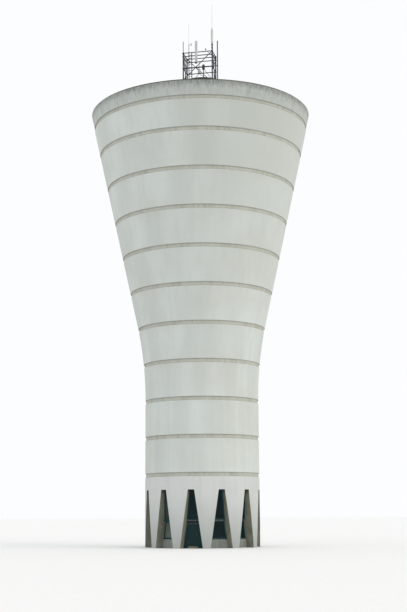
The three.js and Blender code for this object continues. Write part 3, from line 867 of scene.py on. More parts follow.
@dataclass
class TowerWall:
    """The ring over the legs and the ten lifts of wall, each with its recessed bare band."""

    lifts: int = 10
    face_levels: int = 14
    inner_levels: int = 5
    ring_levels: int = 6
    panels: int = 24
    panel_joint: float = 0.45
    seed: int = 5
    # Weathering and painted shade on one side: the lift where it starts and its strength
    weather_and_shade_foot: int = 5
    weather_and_shade_tone: float = 1.7

    def outline(self, bottom: float, top: float) -> tuple[np.ndarray, np.ndarray, np.ndarray]:
        """A lift's closed profile.

        It runs up the band, out under the painted face, round its arris, up the face along
        WALL.radius(z), and back down inside, one wall thickness in.

        Args:
            bottom: The band's lower edge.
            top: The painted face's upper edge.

        Returns:
            The profile's points, the material of each stretch after a point, and the fall at each point.
        """
        a = WALL.arris
        band_top = bottom + WALL.band_height
        band, band_fall = WALL.band(bottom)
        face_z = np.linspace(band_top + a, top - a, self.face_levels)
        face = np.stack([WALL.radius(face_z), face_z], -1)
        ledge = np.array([[float(WALL.radius(top)) - a, top]])
        inner_z = np.linspace(top, bottom, self.inner_levels)
        inner = np.stack([WALL.radius(inner_z) - WALL.thickness, inner_z], -1)
        points = np.vstack([band, face, ledge, inner])
        painted, bare = [WallFace.PAINT], [WallFace.BARE]
        slots = bare * WALL.band_levels + painted * (self.face_levels + 1) + bare * (self.inner_levels + 1)
        face_fall = (face_z - band_top) / (top - band_top)
        fall = np.concatenate([band_fall, face_fall, [1.0], np.zeros(self.inner_levels)])
        return points, np.array(slots), fall

    def panel_tone(self, random: np.random.Generator) -> np.ndarray:
        """Tones of the shutter panels round a lift, softened where one panel meets the next."""
        tones = random.random(self.panels) ** 2
        place = np.arange(TURN_SIDES) / TURN_SIDES * self.panels + random.random()
        index = place.astype(int) % self.panels
        share = np.clip((place % 1 - (1 - self.panel_joint)) / self.panel_joint, 0, 1)
        return tones[index] * (1 - share) + tones[(index + 1) % self.panels] * share

    def weather(self, number: int) -> np.ndarray:
        """How much darker a lift is on the side that the weather comes from.

        It stands for weathering and painted shade. It grows from none at its starting lift to all at the
        top lift, and is none on the far side.

        Args:
            number: The lift's number, counted from the lowest.

        Returns:
            A tone for each of the turn's rows.
        """
        height = np.clip((number - self.weather_and_shade_foot) / (self.lifts - self.weather_and_shade_foot), 0, 1)
        return self.weather_and_shade_tone * height * side_share(WALL.weather_and_shade_side, 2)

    def build(self) -> None:
        """Builds the lifts and the head ring."""
        random = np.random.default_rng(self.seed)
        for number in range(1, self.lifts + 1):
            node = f"wall_lift_{number:02d}"
            low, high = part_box(node)
            points, slots, fall = self.outline(low.z, high.z)
            # Random panel tones, plus weathering and painted shade on one side
            tone = self.panel_tone(random) + self.weather(number)
            work = Mesher()
            work.grid(turned(points), slots, WALL.band_fall(fall), tone[:, None], close=(True, True))
            work.piece(f"painted_{node}", [WALL_PAINT, BAND_CONCRETE], [node])
        self.head_ring()

    def head_ring(self) -> None:
        """The wall over the openings: a straight ring with a bare underside."""
        low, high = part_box("head_ring")
        a = WALL.arris
        outer, inner = WALL.shaft_radius, WALL.shaft_radius - WALL.thickness
        face_z = np.linspace(low.z, high.z - a, self.ring_levels)
        face = np.stack([np.full(self.ring_levels, outer), face_z], -1)
        points = np.vstack([
            [[inner, low.z], [outer - a, low.z]],
            face,
            [[outer - a, high.z], [inner, high.z]],
        ])
        painted, bare = [WallFace.PAINT], [WallFace.BARE]
        slots = np.array(bare + painted * (self.ring_levels + 1) + bare * 2)
        # Painted shade on the bare underside over the openings.
        fall = np.array([1.0] * 2 + [0.0] * (self.ring_levels + 2))
        work = Mesher()
        work.grid(turned(points), slots, fall[None], close=(True, True))
        work.piece("painted_head_ring", [LEG_PAINT, REVEAL_CONCRETE], ["head_ring"])


@dataclass
class Legs:
    """Twelve legs: a painted outer face, splayed bare reveals and a bare back."""

    arris: float = 0.005
    across: int = 15
    deep: int = 5
    levels_below: int = 7
    levels_above: int = 8
    splash_height: float = 2.0
    splash_tone: float = 1.2
    shade_height: float = 1.85

    def section(self, z: np.ndarray) -> np.ndarray:
        """A leg's closed section at each height.

        The outer face is an arc from one opening to the next, each reveal follows BAY.edge_angle(z, r)
        inwards, and the back is an arc at BAY.inner_radius(z).

        Args:
            z: Heights, as a column.

        Returns:
            An array of heights by points.
        """
        outer = np.full_like(z, WALL.shaft_radius)
        inner = BAY.inner_radius(z)
        pitch = math.radians(BAY.pitch)
        share = np.linspace(0, 1, self.across)[None]
        chamfer = self.arris / WALL.shaft_radius
        start = BAY.edge_angle(z, outer) + chamfer
        face_angle = start + (pitch - 2 * start) * share
        depth = np.linspace(0, 1, self.deep)[None]
        reveal_radius = outer - self.arris + (inner + self.arris - outer + self.arris) * depth
        reveal_angle = BAY.edge_angle(z, reveal_radius)
        back_start = BAY.edge_angle(z, inner) + self.arris / inner
        back_angle = back_start + (pitch - 2 * back_start) * share
        radius = np.hstack([
            np.broadcast_to(outer, face_angle.shape),
            reveal_radius,
            np.broadcast_to(inner, back_angle.shape),
            reveal_radius[:, ::-1],
        ])
        angle = np.hstack([face_angle, pitch - reveal_angle, back_angle[:, ::-1], reveal_angle[:, ::-1]])
        height = np.broadcast_to(z, radius.shape)
        return np.stack([radius * np.sin(angle), -radius * np.cos(angle), height], -1)

    def build(self) -> None:
        """Builds a leg for each packed one."""
        low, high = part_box("leg_01")
        z = np.concatenate([
            np.linspace(low.z, BAY.knee, self.levels_below),
            np.linspace(BAY.knee, high.z, self.levels_above)[1:],
        ])[:, None]
        points = self.section(z)
        outside = np.arange(points.shape[1]) < self.across - 1
        slots = np.where(outside, WallFace.PAINT, WallFace.BARE)
        splash = self.splash_tone * np.clip(1 - z / self.splash_height, 0, 1)
        # Painted shade on the bare reveals, growing towards the head of each opening.
        under_head = np.clip((z - self.shade_height) / (high.z - self.shade_height), 0, 1)
        for index in range(BAY.count):
            node = f"leg_{index + 1:02d}"
            work = Mesher()
            work.loft(turn(points, index * BAY.pitch), slots, under_head, splash, WallFace.BARE)
            work.piece(f"painted_{node}", [LEG_PAINT, REVEAL_CONCRETE], [node])


@dataclass(frozen=True)
class Plane:
    """A flat working plane in a bay that faces -Y: right and up lie in it, out points out of it."""

    origin: tuple[float, float, float]
    up: tuple[float, float, float]

    @property
    def axes(self) -> np.ndarray:
        """The rows right, up and out."""
        right = np.array([1.0, 0, 0])
        up = np.array(self.up) / np.linalg.norm(self.up)
        return np.stack([right, up, np.cross(right, up)])

    def place(self, flat: np.ndarray, depth: np.ndarray | float) -> np.ndarray:
        """Puts points of the plane in space.

        Args:
            flat: Points across and up the plane.
            depth: How far out of the plane each one is.

        Returns:
            Points in space.
        """
        depth = np.broadcast_to(depth, flat.shape[:-1])[..., None]
        return np.array(self.origin) + np.concatenate([flat, depth], -1) @ self.axes


def mitred(corners: np.ndarray, section: np.ndarray) -> tuple[np.ndarray, np.ndarray]:
    """Carries a section round a closed outline with mitred corners.

    Each corner moves inwards along its mitre, the sum of its two edges' inward normals over one plus
    their dot product, times how far in the section's point lies.

    Args:
        corners: The outline's k corners, anticlockwise.
        section: Points of distance in and distance out.

    Returns:
        Flat points of section by corner, and the distance out of each.
    """
    edges = np.roll(corners, -1, axis=0) - corners
    edges /= np.linalg.norm(edges, axis=1, keepdims=True)
    normals = np.stack([-edges[:, 1], edges[:, 0]], -1)
    before = np.roll(normals, 1, axis=0)
    mitre = (normals + before) / (1 + np.sum(normals * before, axis=1, keepdims=True))
    flat = corners[None] + section[:, None, :1] * mitre[None]
    depth = np.broadcast_to(section[:, 1:], flat.shape[:-1])
    return flat, depth


@dataclass
class BayScreens:
    """Joinery in the openings: low wall, window, flashed transom and raked glazing above.

    Everything is laid out for the bay that faces -Y and turned to the others. Two side bays have panes with
    a painted reflection of the sky, and a flashing in the dark joinery paint as painted shade.
    """

    front: float = 1.985
    back: float = 1.9
    gap: float = 0.002
    sill: float = 0.36
    sill_fall: float = 0.01
    sill_nose: float = 0.008
    sill_lap: float = 0.05
    sill_thickness: float = 0.018
    wall_proud: float = 0.01
    transom: tuple[float, float] = (1.05, 1.1)
    transom_front: float = 2.055
    bar_lap: float = 0.04
    bar_cover: float = 0.004
    flashing_lap: float = 0.03
    flashing_fold: float = 0.011
    flashing_fall: float = 0.008
    flashing_sheet: float = 0.003
    drip: float = 0.002
    rake_foot: float = 2.045
    rake_head: float = 2.195
    frame_face: float = 0.035
    frame_depth: float = 0.04
    bead_width: float = 0.008
    pane_inset: float = 0.022
    pane_thickness: float = 0.006
    pane_lap: float = 0.002
    bevel: float = 0.003
    names: tuple[str, ...] = tuple(f"bay_screen_{bay:02d}" for bay in range(2, 13))
    painted_reflection_bays: tuple[str, ...] = ("bay_screen_11", "bay_screen_12")

    @property
    def window_plane(self) -> Plane:
        """The upright plane of the window's face, with up measured from the ground."""
        return Plane((0, -self.front, 0), (0, 0, 1))

    @property
    def rake_plane(self) -> Plane:
        """The leaning plane of the upper glazing's face, with up measured from the transom."""
        rise = BAY.head - self.transom[1]
        return Plane((0, -self.rake_foot, self.transom[1]), (0, self.rake_foot - self.rake_head, rise))

    def window_outline(self, low: float, high: float) -> np.ndarray:
        """Corners of the window between two heights, anticlockwise seen from outside."""
        w0 = BAY.width_at(low, self.front) - self.gap
        w1 = BAY.width_at(high, self.front) - self.gap
        return np.array([[-w0, low], [w0, low], [w1, high], [-w1, high]])

    def rake_outline(self) -> np.ndarray:
        """Corners of the leaning glazing, with heights measured up the slope."""
        top = BAY.head - self.gap
        w0 = BAY.width_at(self.transom[1], self.rake_foot) - self.gap
        w1 = BAY.width_at(top, self.rake_head) - self.gap
        slope = math.hypot(top - self.transom[1], self.rake_head - self.rake_foot)
        return np.array([[-w0, 0], [w0, 0], [w1, slope], [-w1, slope]])

    def glazed_frame(
        self,
        work: Mesher,
        plane: Plane,
        corners: np.ndarray,
        bay: float,
        pane_slot: int = BayFace.PANE,
        head_fall: float = 0.0,
    ) -> None:
        """A mitred frame with a chamfered front, a glazing bead and its pane.

        Args:
            work: Takes the faces.
            plane: The plane of the frame's face.
            corners: The frame's outer corners.
            bay: The bay's turn in degrees.
            pane_slot: The pane's material.
            head_fall: The fall attribute at the pane's head, which paints shade there.
        """
        face, b = self.frame_face, self.bevel
        bead, inset = face + self.bead_width, self.pane_inset
        section = np.array([
            [0, -self.frame_depth], [0, -b], [b, 0], [face - b, 0], [face, -b],
            [face, -0.5 * inset], [bead, -0.6 * inset], [bead, -self.frame_depth],
        ])
        flat, depth = mitred(corners, section)
        work.grid(turn(plane.place(flat, depth), bay), BayFace.JOINERY, close=(True, True))
        pane, _ = mitred(corners, np.array([[bead - self.pane_lap, 0]]))
        faces = [plane.place(pane[0], -deep) for deep in (inset, inset + self.pane_thickness)]
        work.loft(turn(np.stack(faces), bay), pane_slot, np.array([0, 0, head_fall, head_fall]))

    def across_bay(self, work: Mesher, outline: np.ndarray, bay: float, slot: int) -> None:
        """A bar across a bay, its ends cut to the opening's splayed sides.

        Args:
            work: Takes the faces.
            outline: The bar's section, as points of distance in front of the axis and height.
            bay: The bay's turn in degrees.
            slot: The material's number.
        """
        width = BAY.width_at(outline[:, 1], outline[:, 0]) - self.gap
        left = np.stack([-width, -outline[:, 0], outline[:, 1]], -1)
        work.loft(turn(np.stack([left, left * [-1, 1, 1]]), bay), slot)

    def transom_bar(self, work: Mesher, bay: float, cover_slot: int = BayFace.FLASHING) -> None:
        """A bar across the bay under a folded flashing with a drip.

        Args:
            work: Takes the faces.
            bay: The bay's turn in degrees.
            cover_slot: The flashing's material.
        """
        low, high = self.transom
        nose, nose_z = self.transom_front, high - self.flashing_fall
        lap, fold = self.front - self.flashing_lap, nose - self.flashing_fold
        bar_back, bar_front = self.front - self.bar_lap, fold - 1 * MM
        bar = np.array([
            [bar_back, low], [bar_front, low], [bar_front, nose_z - self.bar_cover],
            [bar_back, high - self.bar_cover],
        ])
        flashing = np.array([
            [lap, high - self.flashing_sheet], [fold, nose_z - self.flashing_sheet], [fold, low + self.drip],
            [nose, low - self.drip], [nose, nose_z], [lap, high],
        ])
        self.across_bay(work, bar, bay, BayFace.JOINERY)
        self.across_bay(work, flashing, bay, cover_slot)

    def low_wall(self, work: Mesher, bay: float) -> None:
        """The low wall under the window, with a sloped sill in front of the frame.

        Args:
            work: Takes the faces.
            bay: The bay's turn in degrees.
        """
        proud = self.front + self.wall_proud
        foot = self.sill - self.sill_thickness
        wall_top = foot - self.gap
        wall = np.array([[self.back, 0], [proud, 0], [proud, wall_top], [self.back, wall_top]])
        lap, nose = self.front - self.sill_lap, proud + self.sill_nose
        sill = np.array([[lap, foot], [nose, foot], [nose, self.sill - self.sill_fall], [lap, self.sill]])
        self.across_bay(work, wall, bay, BayFace.CONCRETE)
        self.across_bay(work, sill, bay, BayFace.FLASHING)

    def build(self) -> None:
        """Builds the eleven glazed bays."""
        for name in self.names:
            bay = (int(name[-2:]) - 1) * BAY.pitch
            window_pane, rake_pane, cover = BayFace.PANE, BayFace.PANE, BayFace.FLASHING
            # Two side bays get panes with a painted reflection of the sky.
            if name in self.painted_reflection_bays:
                window_pane, rake_pane = BayFace.UPRIGHT_SKY_REFLECTION_PANE, BayFace.RAKED_SKY_REFLECTION_PANE
                # Their flashing takes the dark joinery paint as painted shade.
                cover = BayFace.JOINERY
            work = Mesher()
            self.low_wall(work, bay)
            window = self.window_outline(self.sill, self.transom[0])
            self.glazed_frame(work, self.window_plane, window, bay, window_pane)
            self.transom_bar(work, bay, cover)
            # The raked pane gets painted shade at its head.
            self.glazed_frame(work, self.rake_plane, self.rake_outline(), bay, rake_pane, 1.0)
            finishes = [JOINERY, GLAZING, FLASHING, SHADED_LOW_WALL_CONCRETE, SKY_REFLECTION_GLAZING, BRIGHT_SKY_REFLECTION_GLAZING]
            work.piece(f"glazed_{name}", finishes, [name], smooth=False)


@dataclass
class Entrance:
    """The entrance bay: upright boards to the ground, a boarded door leaf, and glazing above."""

    screens: BayScreens
    door_half: float = 0.19
    clearance: float = 0.005
    door_low: float = 0.085
    door_high: float = 1.03
    threshold: float = 0.075
    post: float = 0.03
    board: float = 0.095
    leaf_boards: int = 4
    groove: float = 0.006
    board_depth: float = 0.016
    stile: float = 0.045
    stile_depth: float = 0.007
    kick_height: float = 0.07
    kick_margin: float = 0.005
    cross_rail: float = 0.955
    rail_height: float = 0.022
    rail_proud: float = 0.012
    rail_sunk: float = 0.002
    hinge: tuple[float, float] = (-0.195, -1.996)
    hinge_heights: tuple[float, float] = (0.21, 0.895)
    knuckle: float = 0.03
    knuckle_radius: float = 0.007
    knuckle_sides: int = 20
    plate_width: float = 0.023
    plate_sunk: float = 0.0015
    leaf_plate: float = 0.015
    handle: tuple[float, float] = (0.16, 0.53)
    handle_plate: tuple[float, float, float] = (0.02, 0.007, 0.09)
    handle_reach: float = 0.027
    grip_length: float = 0.06
    grip_radius: float = 0.004
    grip_return: float = 0.01

    def build(self) -> None:
        """Builds the entrance screen and the door leaf."""
        self.screen()
        self.leaf()

    def boards(self, work: Mesher, left: np.ndarray, right: np.ndarray, low: float, high: float) -> None:
        """Upright boards with chamfered grooves between them.

        Each board's front outline is drawn in by half a groove, and its back by none, so two neighbours
        leave a V between them.

        Args:
            work: Takes the faces in material 0.
            left: Each board's left side, at its foot and at its head.
            right: Each board's right side, at its foot and at its head.
            low: Height of the foot.
            high: Height of the head.
        """
        plane = self.screens.window_plane
        half_groove = self.groove / 2
        x = np.stack([left[:, 0], right[:, 0], right[:, 1], left[:, 1]], -1)
        z = np.broadcast_to(np.array([low, low, high, high]), x.shape)
        outlines = np.stack([x, z], -1)
        drawn_in = outlines + np.array([[1, 0], [-1, 0], [-1, 0], [1, 0]]) * half_groove
        for board, narrow in zip(outlines, drawn_in):
            back = plane.place(board, -self.board_depth)
            chamfer = plane.place(board, -half_groove)
            work.loft(np.stack([back, chamfer, plane.place(narrow, 0.0)]))

    def side_boards(self, work: Mesher) -> None:
        """Boards between the door and the frame's sloping jambs, the outermost cut to the slope."""
        s = self.screens
        high = s.transom[0]
        jamb_low = float(BAY.width_at(0.0, s.front)) - s.gap
        jamb_high = float(BAY.width_at(high, s.front)) - s.gap
        edges = np.arange(self.door_half + self.clearance, jamb_low, self.board)
        foot = np.stack([edges, np.append(edges[1:], jamb_low)], -1)
        head = np.minimum(foot, jamb_high)
        kept = head[:, 1] - head[:, 0] > self.groove * 2
        left = np.stack([foot[:, 0], head[:, 0]], -1)[kept]
        right = np.stack([foot[:, 1], head[:, 1]], -1)[kept]
        right[-1, 0] = jamb_low
        self.boards(work, left, right, 0.0, high)
        self.boards(work, -right, -left, 0.0, high)

    def screen(self) -> None:
        """The fixed boards, door lining, threshold, hinge plates, transom and upper glazing."""
        s = self.screens
        work = Mesher()
        self.side_boards(work)
        jamb = self.door_half + self.clearance
        deep = s.front - s.back
        lining = deep - self.board_depth
        tall = s.transom[0] - self.threshold
        for side in (-1, 1):
            centre = [side * (jamb + self.post / 2), -(s.back + lining / 2), self.threshold + tall / 2]
            work.boxes(centre, [self.post, lining, tall])
        lintel_low = self.door_high + self.clearance
        lintel = (lintel_low, s.transom[0], BayFace.JOINERY)
        threshold = (0.0, self.threshold, BayFace.CONCRETE)
        for low, high, slot in (lintel, threshold):
            centre = [0, -(s.back + deep / 2), (low + high) / 2]
            work.boxes(centre, [2 * jamb, deep, high - low], slot=slot)
        rail_end = float(BAY.width_at(self.cross_rail, s.front)) - s.gap
        for side in (-1, 1):
            self.rail_cover(work, side * (jamb + rail_end) / 2, rail_end - jamb, BayFace.FLASHING)
        self.hinges(work, self.hinge[0] - self.plate_width / 2, 0.0, BayFace.FLASHING)
        s.transom_bar(work, 0)
        # The raked pane gets painted shade at its head.
        s.glazed_frame(work, s.rake_plane, s.rake_outline(), 0, head_fall=1.0)
        finishes = [BOARDS, GLAZING, FLASHING, REVEAL_CONCRETE]
        work.piece("boarded_entrance_screen", finishes, ["entrance_screen"], smooth=False)

    def rail_cover(self, work: Mesher, x: float, width: float, slot: int) -> None:
        """The cover strip of the cross rail, let a little into the boards.

        Args:
            work: Takes the faces.
            x: The strip's middle, across.
            width: Its length across.
            slot: The material's number.
        """
        y = -self.screens.front - (self.rail_proud - self.rail_sunk) / 2
        size = [width, self.rail_proud + self.rail_sunk, self.rail_height]
        work.boxes([x, y, self.cross_rail], size, slot=slot)

    def hinges(self, work: Mesher, plate_x: float, lift: float, slot: int) -> None:
        """Knuckles on the hinge line with the plates that fasten them.

        Args:
            work: Takes the faces.
            plate_x: The middle of the plates, across.
            lift: How far above the hinge heights the knuckles start.
            slot: The material's number.
        """
        x, y = self.hinge
        thick = -self.screens.front - y + self.plate_sunk
        for height in self.hinge_heights:
            low = height + lift
            ends = [x, y, low], [x, y, low + self.knuckle]
            work.rods(*ends, self.knuckle_radius, self.knuckle_sides, slot)
            centre = [plate_x, y + thick / 2, low + self.knuckle / 2]
            work.boxes(centre, [self.plate_width, thick, self.knuckle], slot=slot)

    def leaf(self) -> None:
        """The door leaf: boards on a framed back, with its cross rail, kick plate, lever and hinges."""
        s = self.screens
        work = Mesher()
        edges = np.linspace(-self.door_half, self.door_half, self.leaf_boards + 1)
        left = np.stack([edges[:-1], edges[:-1]], -1)
        right = np.stack([edges[1:], edges[1:]], -1)
        self.boards(work, left, right, self.door_low, self.door_high)
        back_y = -(s.front - self.board_depth - self.stile_depth / 2 + 0.5 * MM)
        tall = self.door_high - self.door_low
        middle = (self.door_high + self.door_low) / 2
        half_stile = self.stile / 2
        for side in (-1, 1):
            centre = [side * (self.door_half - half_stile), back_y, middle]
            work.boxes(centre, [self.stile, self.stile_depth, tall])
        for z in (self.door_low + half_stile, middle, self.door_high - half_stile):
            work.boxes([0, back_y, z], [2 * (self.door_half - self.stile), self.stile_depth, self.stile])
        self.rail_cover(work, 0.0, 2 * self.door_half, LeafFace.COVER)
        kick_z = self.door_low + self.kick_margin + self.kick_height / 2
        kick_width = 2 * (self.door_half - self.kick_margin)
        work.boxes([0, -s.front - 0.5 * MM, kick_z], [kick_width, 2 * MM, self.kick_height])
        self.lever(work)
        self.hinges(work, self.hinge[0] + self.leaf_plate, self.knuckle + SEAM, LeafFace.COVER)
        finishes = [BOARDS, FLASHING, DULL_STEEL]
        work.piece(
            "boarded_entrance_door", finishes, ["entrance_door"], Body.DOOR, smooth=False
        )

    def lever(self, work: Mesher) -> None:
        """The lever handle: a long plate, a round neck and a round grip turned back at its end."""
        x, z = self.handle
        face = -self.screens.front
        plate = [x, face - self.handle_plate[1] / 2, z]
        work.boxes(plate, self.handle_plate, slot=LeafFace.FITTINGS)
        grip_y = face - self.handle_reach
        tip = x - self.grip_length
        bend = tip + self.grip_radius
        end_y = grip_y + self.grip_return
        path = np.array([[x, face, z], [x, grip_y, z], [bend, grip_y, z], [tip, end_y, z]])
        work.rods(path[:-1], path[1:], self.grip_radius, slot=LeafFace.FITTINGS)


@dataclass
class RimAndRoof:
    """The fascia with its coping, the roof behind it and the round house that carries the aerials."""

    setback: float = 0.0225
    face_levels: int = 16
    parapet: float = 0.125
    ledge: float = 0.1875
    # Weathering and painted shade on one side of the rim
    weather_and_shade_tone: float = 0.35
    coping_edge: float = 0.015
    coping_bevel: float = 0.056
    coping_fall: float = 0.01
    coping_arris: float = 0.003
    coping_overlap: float = 0.01
    roof_thickness: float = 0.08
    seat_radius: float = 1.05
    hatch_radius: float = 0.7
    ribs: int = 36
    rib_width: float = 0.03
    rib_height: float = 0.016
    house: tuple[float, float] = (0.1, 0.02)
    house_wall: float = 0.1
    house_levels: int = 7
    drip_height: float = 0.02
    drip_depth: float = 0.012
    upstand: float = 0.03

    def face(self, z: np.ndarray | float) -> np.ndarray:
        """Radius of the rim's face at a height: the wall's line less the setback."""
        return WALL.radius(z) - self.setback

    def build(self) -> None:
        """Builds the rim, the coping, the roof and the roof house."""
        self.rim()
        self.coping()
        self.roof()
        self.roof_house()

    def rim(self) -> None:
        """The fascia: a bare band, the streaked painted face, and a ledge inside for the roof."""
        low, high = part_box("rim_ring")
        band_top = low.z + WALL.band_height
        band, band_fall = WALL.band(low.z, self.setback)
        face_z = np.linspace(band_top + WALL.arris, high.z, self.face_levels)
        face = np.stack([self.face(face_z), face_z], -1)
        ledge_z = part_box("roof_slab")[0].z - SEAM
        ledge_outer = float(self.face(ledge_z)) - self.parapet
        inside = np.array([
            [float(self.face(high.z)) - self.parapet, high.z],
            [ledge_outer, ledge_z],
            [ledge_outer - self.ledge, ledge_z],
            [float(WALL.radius(low.z)) - WALL.thickness, low.z],
        ])
        points = np.vstack([band, face, inside])
        painted, bare = [WallFace.PAINT], [WallFace.BARE]
        slots = np.array(bare * WALL.band_levels + painted * (self.face_levels + 1) + bare * len(inside))
        face_fall = (face_z - band_top) / (high.z - band_top)
        # Painted shade at the band's top and on the parapet's inside under the coping.
        fall = np.concatenate([band_fall, face_fall, [1.0, 0.3, 0, 0]])
        # Weathering and painted shade darken one side of the rim
        tone = self.weather_and_shade_tone * side_share(WALL.weather_and_shade_side, 2)
        work = Mesher()
        work.grid(turned(points), slots, WALL.band_fall(fall), tone[:, None], close=(True, True))
        work.piece("streaked_rim", [RIM_PAINT, BAND_CONCRETE], ["rim_ring"])

    def coping(self) -> None:
        """The cast coping: a short upright edge, a bevel up to the crown, and a fall to the inside."""
        low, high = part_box("rim_coping")
        b = self.coping_arris
        outer = high.y
        inner = float(self.face(low.z)) - self.parapet - self.coping_overlap
        crown = outer - self.coping_bevel
        edge_z = low.z + self.coping_edge
        crown_z = high.z - 0.5 * b
        inner_z = high.z - self.coping_fall
        points = np.array([
            [outer, low.z], [outer, edge_z - b], [outer - b, edge_z + b], [crown + b, high.z - 2 * b],
            [crown - b, crown_z], [crown - 3 * b, crown_z], [inner + b, inner_z], [inner, inner_z - b],
            [inner, low.z],
        ])
        fall = np.array([0.2, 0.4, 0.5, 0.9, 1.0, 0.9, 0.6, 0.3, 0.0])
        work = Mesher()
        work.grid(turned(points), 0, fall[None], close=(True, True))
        work.piece("cast_coping", [COPING_CONCRETE], ["rim_coping"])

    def roof(self) -> None:
        """The cone roof under its screed, with low standing ribs from the seat to the gutter."""
        low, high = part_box("roof_slab")
        edge = high.y
        gutter = edge + SEAM - self.ledge
        top_z = low.z + self.roof_thickness
        seat_foot = high.z - self.roof_thickness
        points = np.array([
            [self.seat_radius, seat_foot], [gutter, low.z], [edge, low.z], [edge, top_z], [gutter, top_z],
            [self.seat_radius, high.z], [self.hatch_radius, high.z], [self.hatch_radius, seat_foot],
        ])
        work = Mesher()
        work.grid(turned(points), 0, close=(True, True))
        foot = np.array([0, -gutter + 0.02, top_z + 0.004])
        head = np.array([0, -self.seat_radius - 0.01, high.z + 0.002])
        length = float(np.linalg.norm(head - foot))
        side, along = np.array([1.0, 0, 0]), (head - foot) / length
        axes = np.stack([side, along, np.cross(side, along)])
        turns = np.arange(self.ribs) / self.ribs * 360
        middles = np.stack([turn((foot + head) / 2, degrees) for degrees in turns])
        turned_axes = np.stack([turn(axes, degrees) for degrees in turns])
        work.boxes(middles, [self.rib_width, length, self.rib_height], turned_axes)
        work.piece("ribbed_roof", [ROOF_CONCRETE], ["roof_slab"])

    def roof_house(self) -> None:
        """The round house: a bare wall, and a cover slab with a drip under its edge and an upstand on it."""
        low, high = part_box("roof_house_wall")
        outer = (high.x - low.x) / 2
        z = np.linspace(low.z, high.z, self.house_levels)
        inner = outer - self.house_wall
        profile = np.vstack([
            np.stack([np.full(self.house_levels, outer), z], -1),
            [[inner, high.z], [inner, low.z]],
        ])
        # Painted shade on the wall, darker towards the top under the cover slab.
        fall = np.concatenate([(z - low.z) / (high.z - low.z), [0, 0]])
        work = Mesher()
        centre = np.array([*self.house, 0])
        work.grid(turned(profile, HOUSE_SIDES) + centre, 0, fall[None], close=(True, True))
        work.piece("bare_roof_house_wall", [HOUSE_CONCRETE], ["roof_house_wall"])
        low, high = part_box("roof_house_slab")
        edge = (high.x - low.x) / 2
        drip, drip_z = edge - self.drip_depth, low.z + self.drip_height
        slab = np.array([
            [0, low.z], [drip, low.z], [drip, drip_z], [edge, drip_z], [edge, high.z - 0.003],
            [edge - 0.003, high.z], [edge - self.upstand, high.z],
            [edge - self.upstand - 0.005, high.z - 0.006], [0, high.z - 0.004],
        ])
        work = Mesher()
        work.spindle(slab, *self.house, HOUSE_SIDES)
        work.piece("trimmed_roof_house_slab", [ZINC], ["roof_house_slab"])


def dress(node: str, finish: Finish) -> None:
    """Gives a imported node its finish.

    Args:
        node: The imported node's name.
        finish: The finish for all of its faces.
    """
    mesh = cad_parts[node].data
    mesh.materials.clear()
    mesh.materials.append(finish.material())
    log.info("%s: finished as %s", node, finish.name)


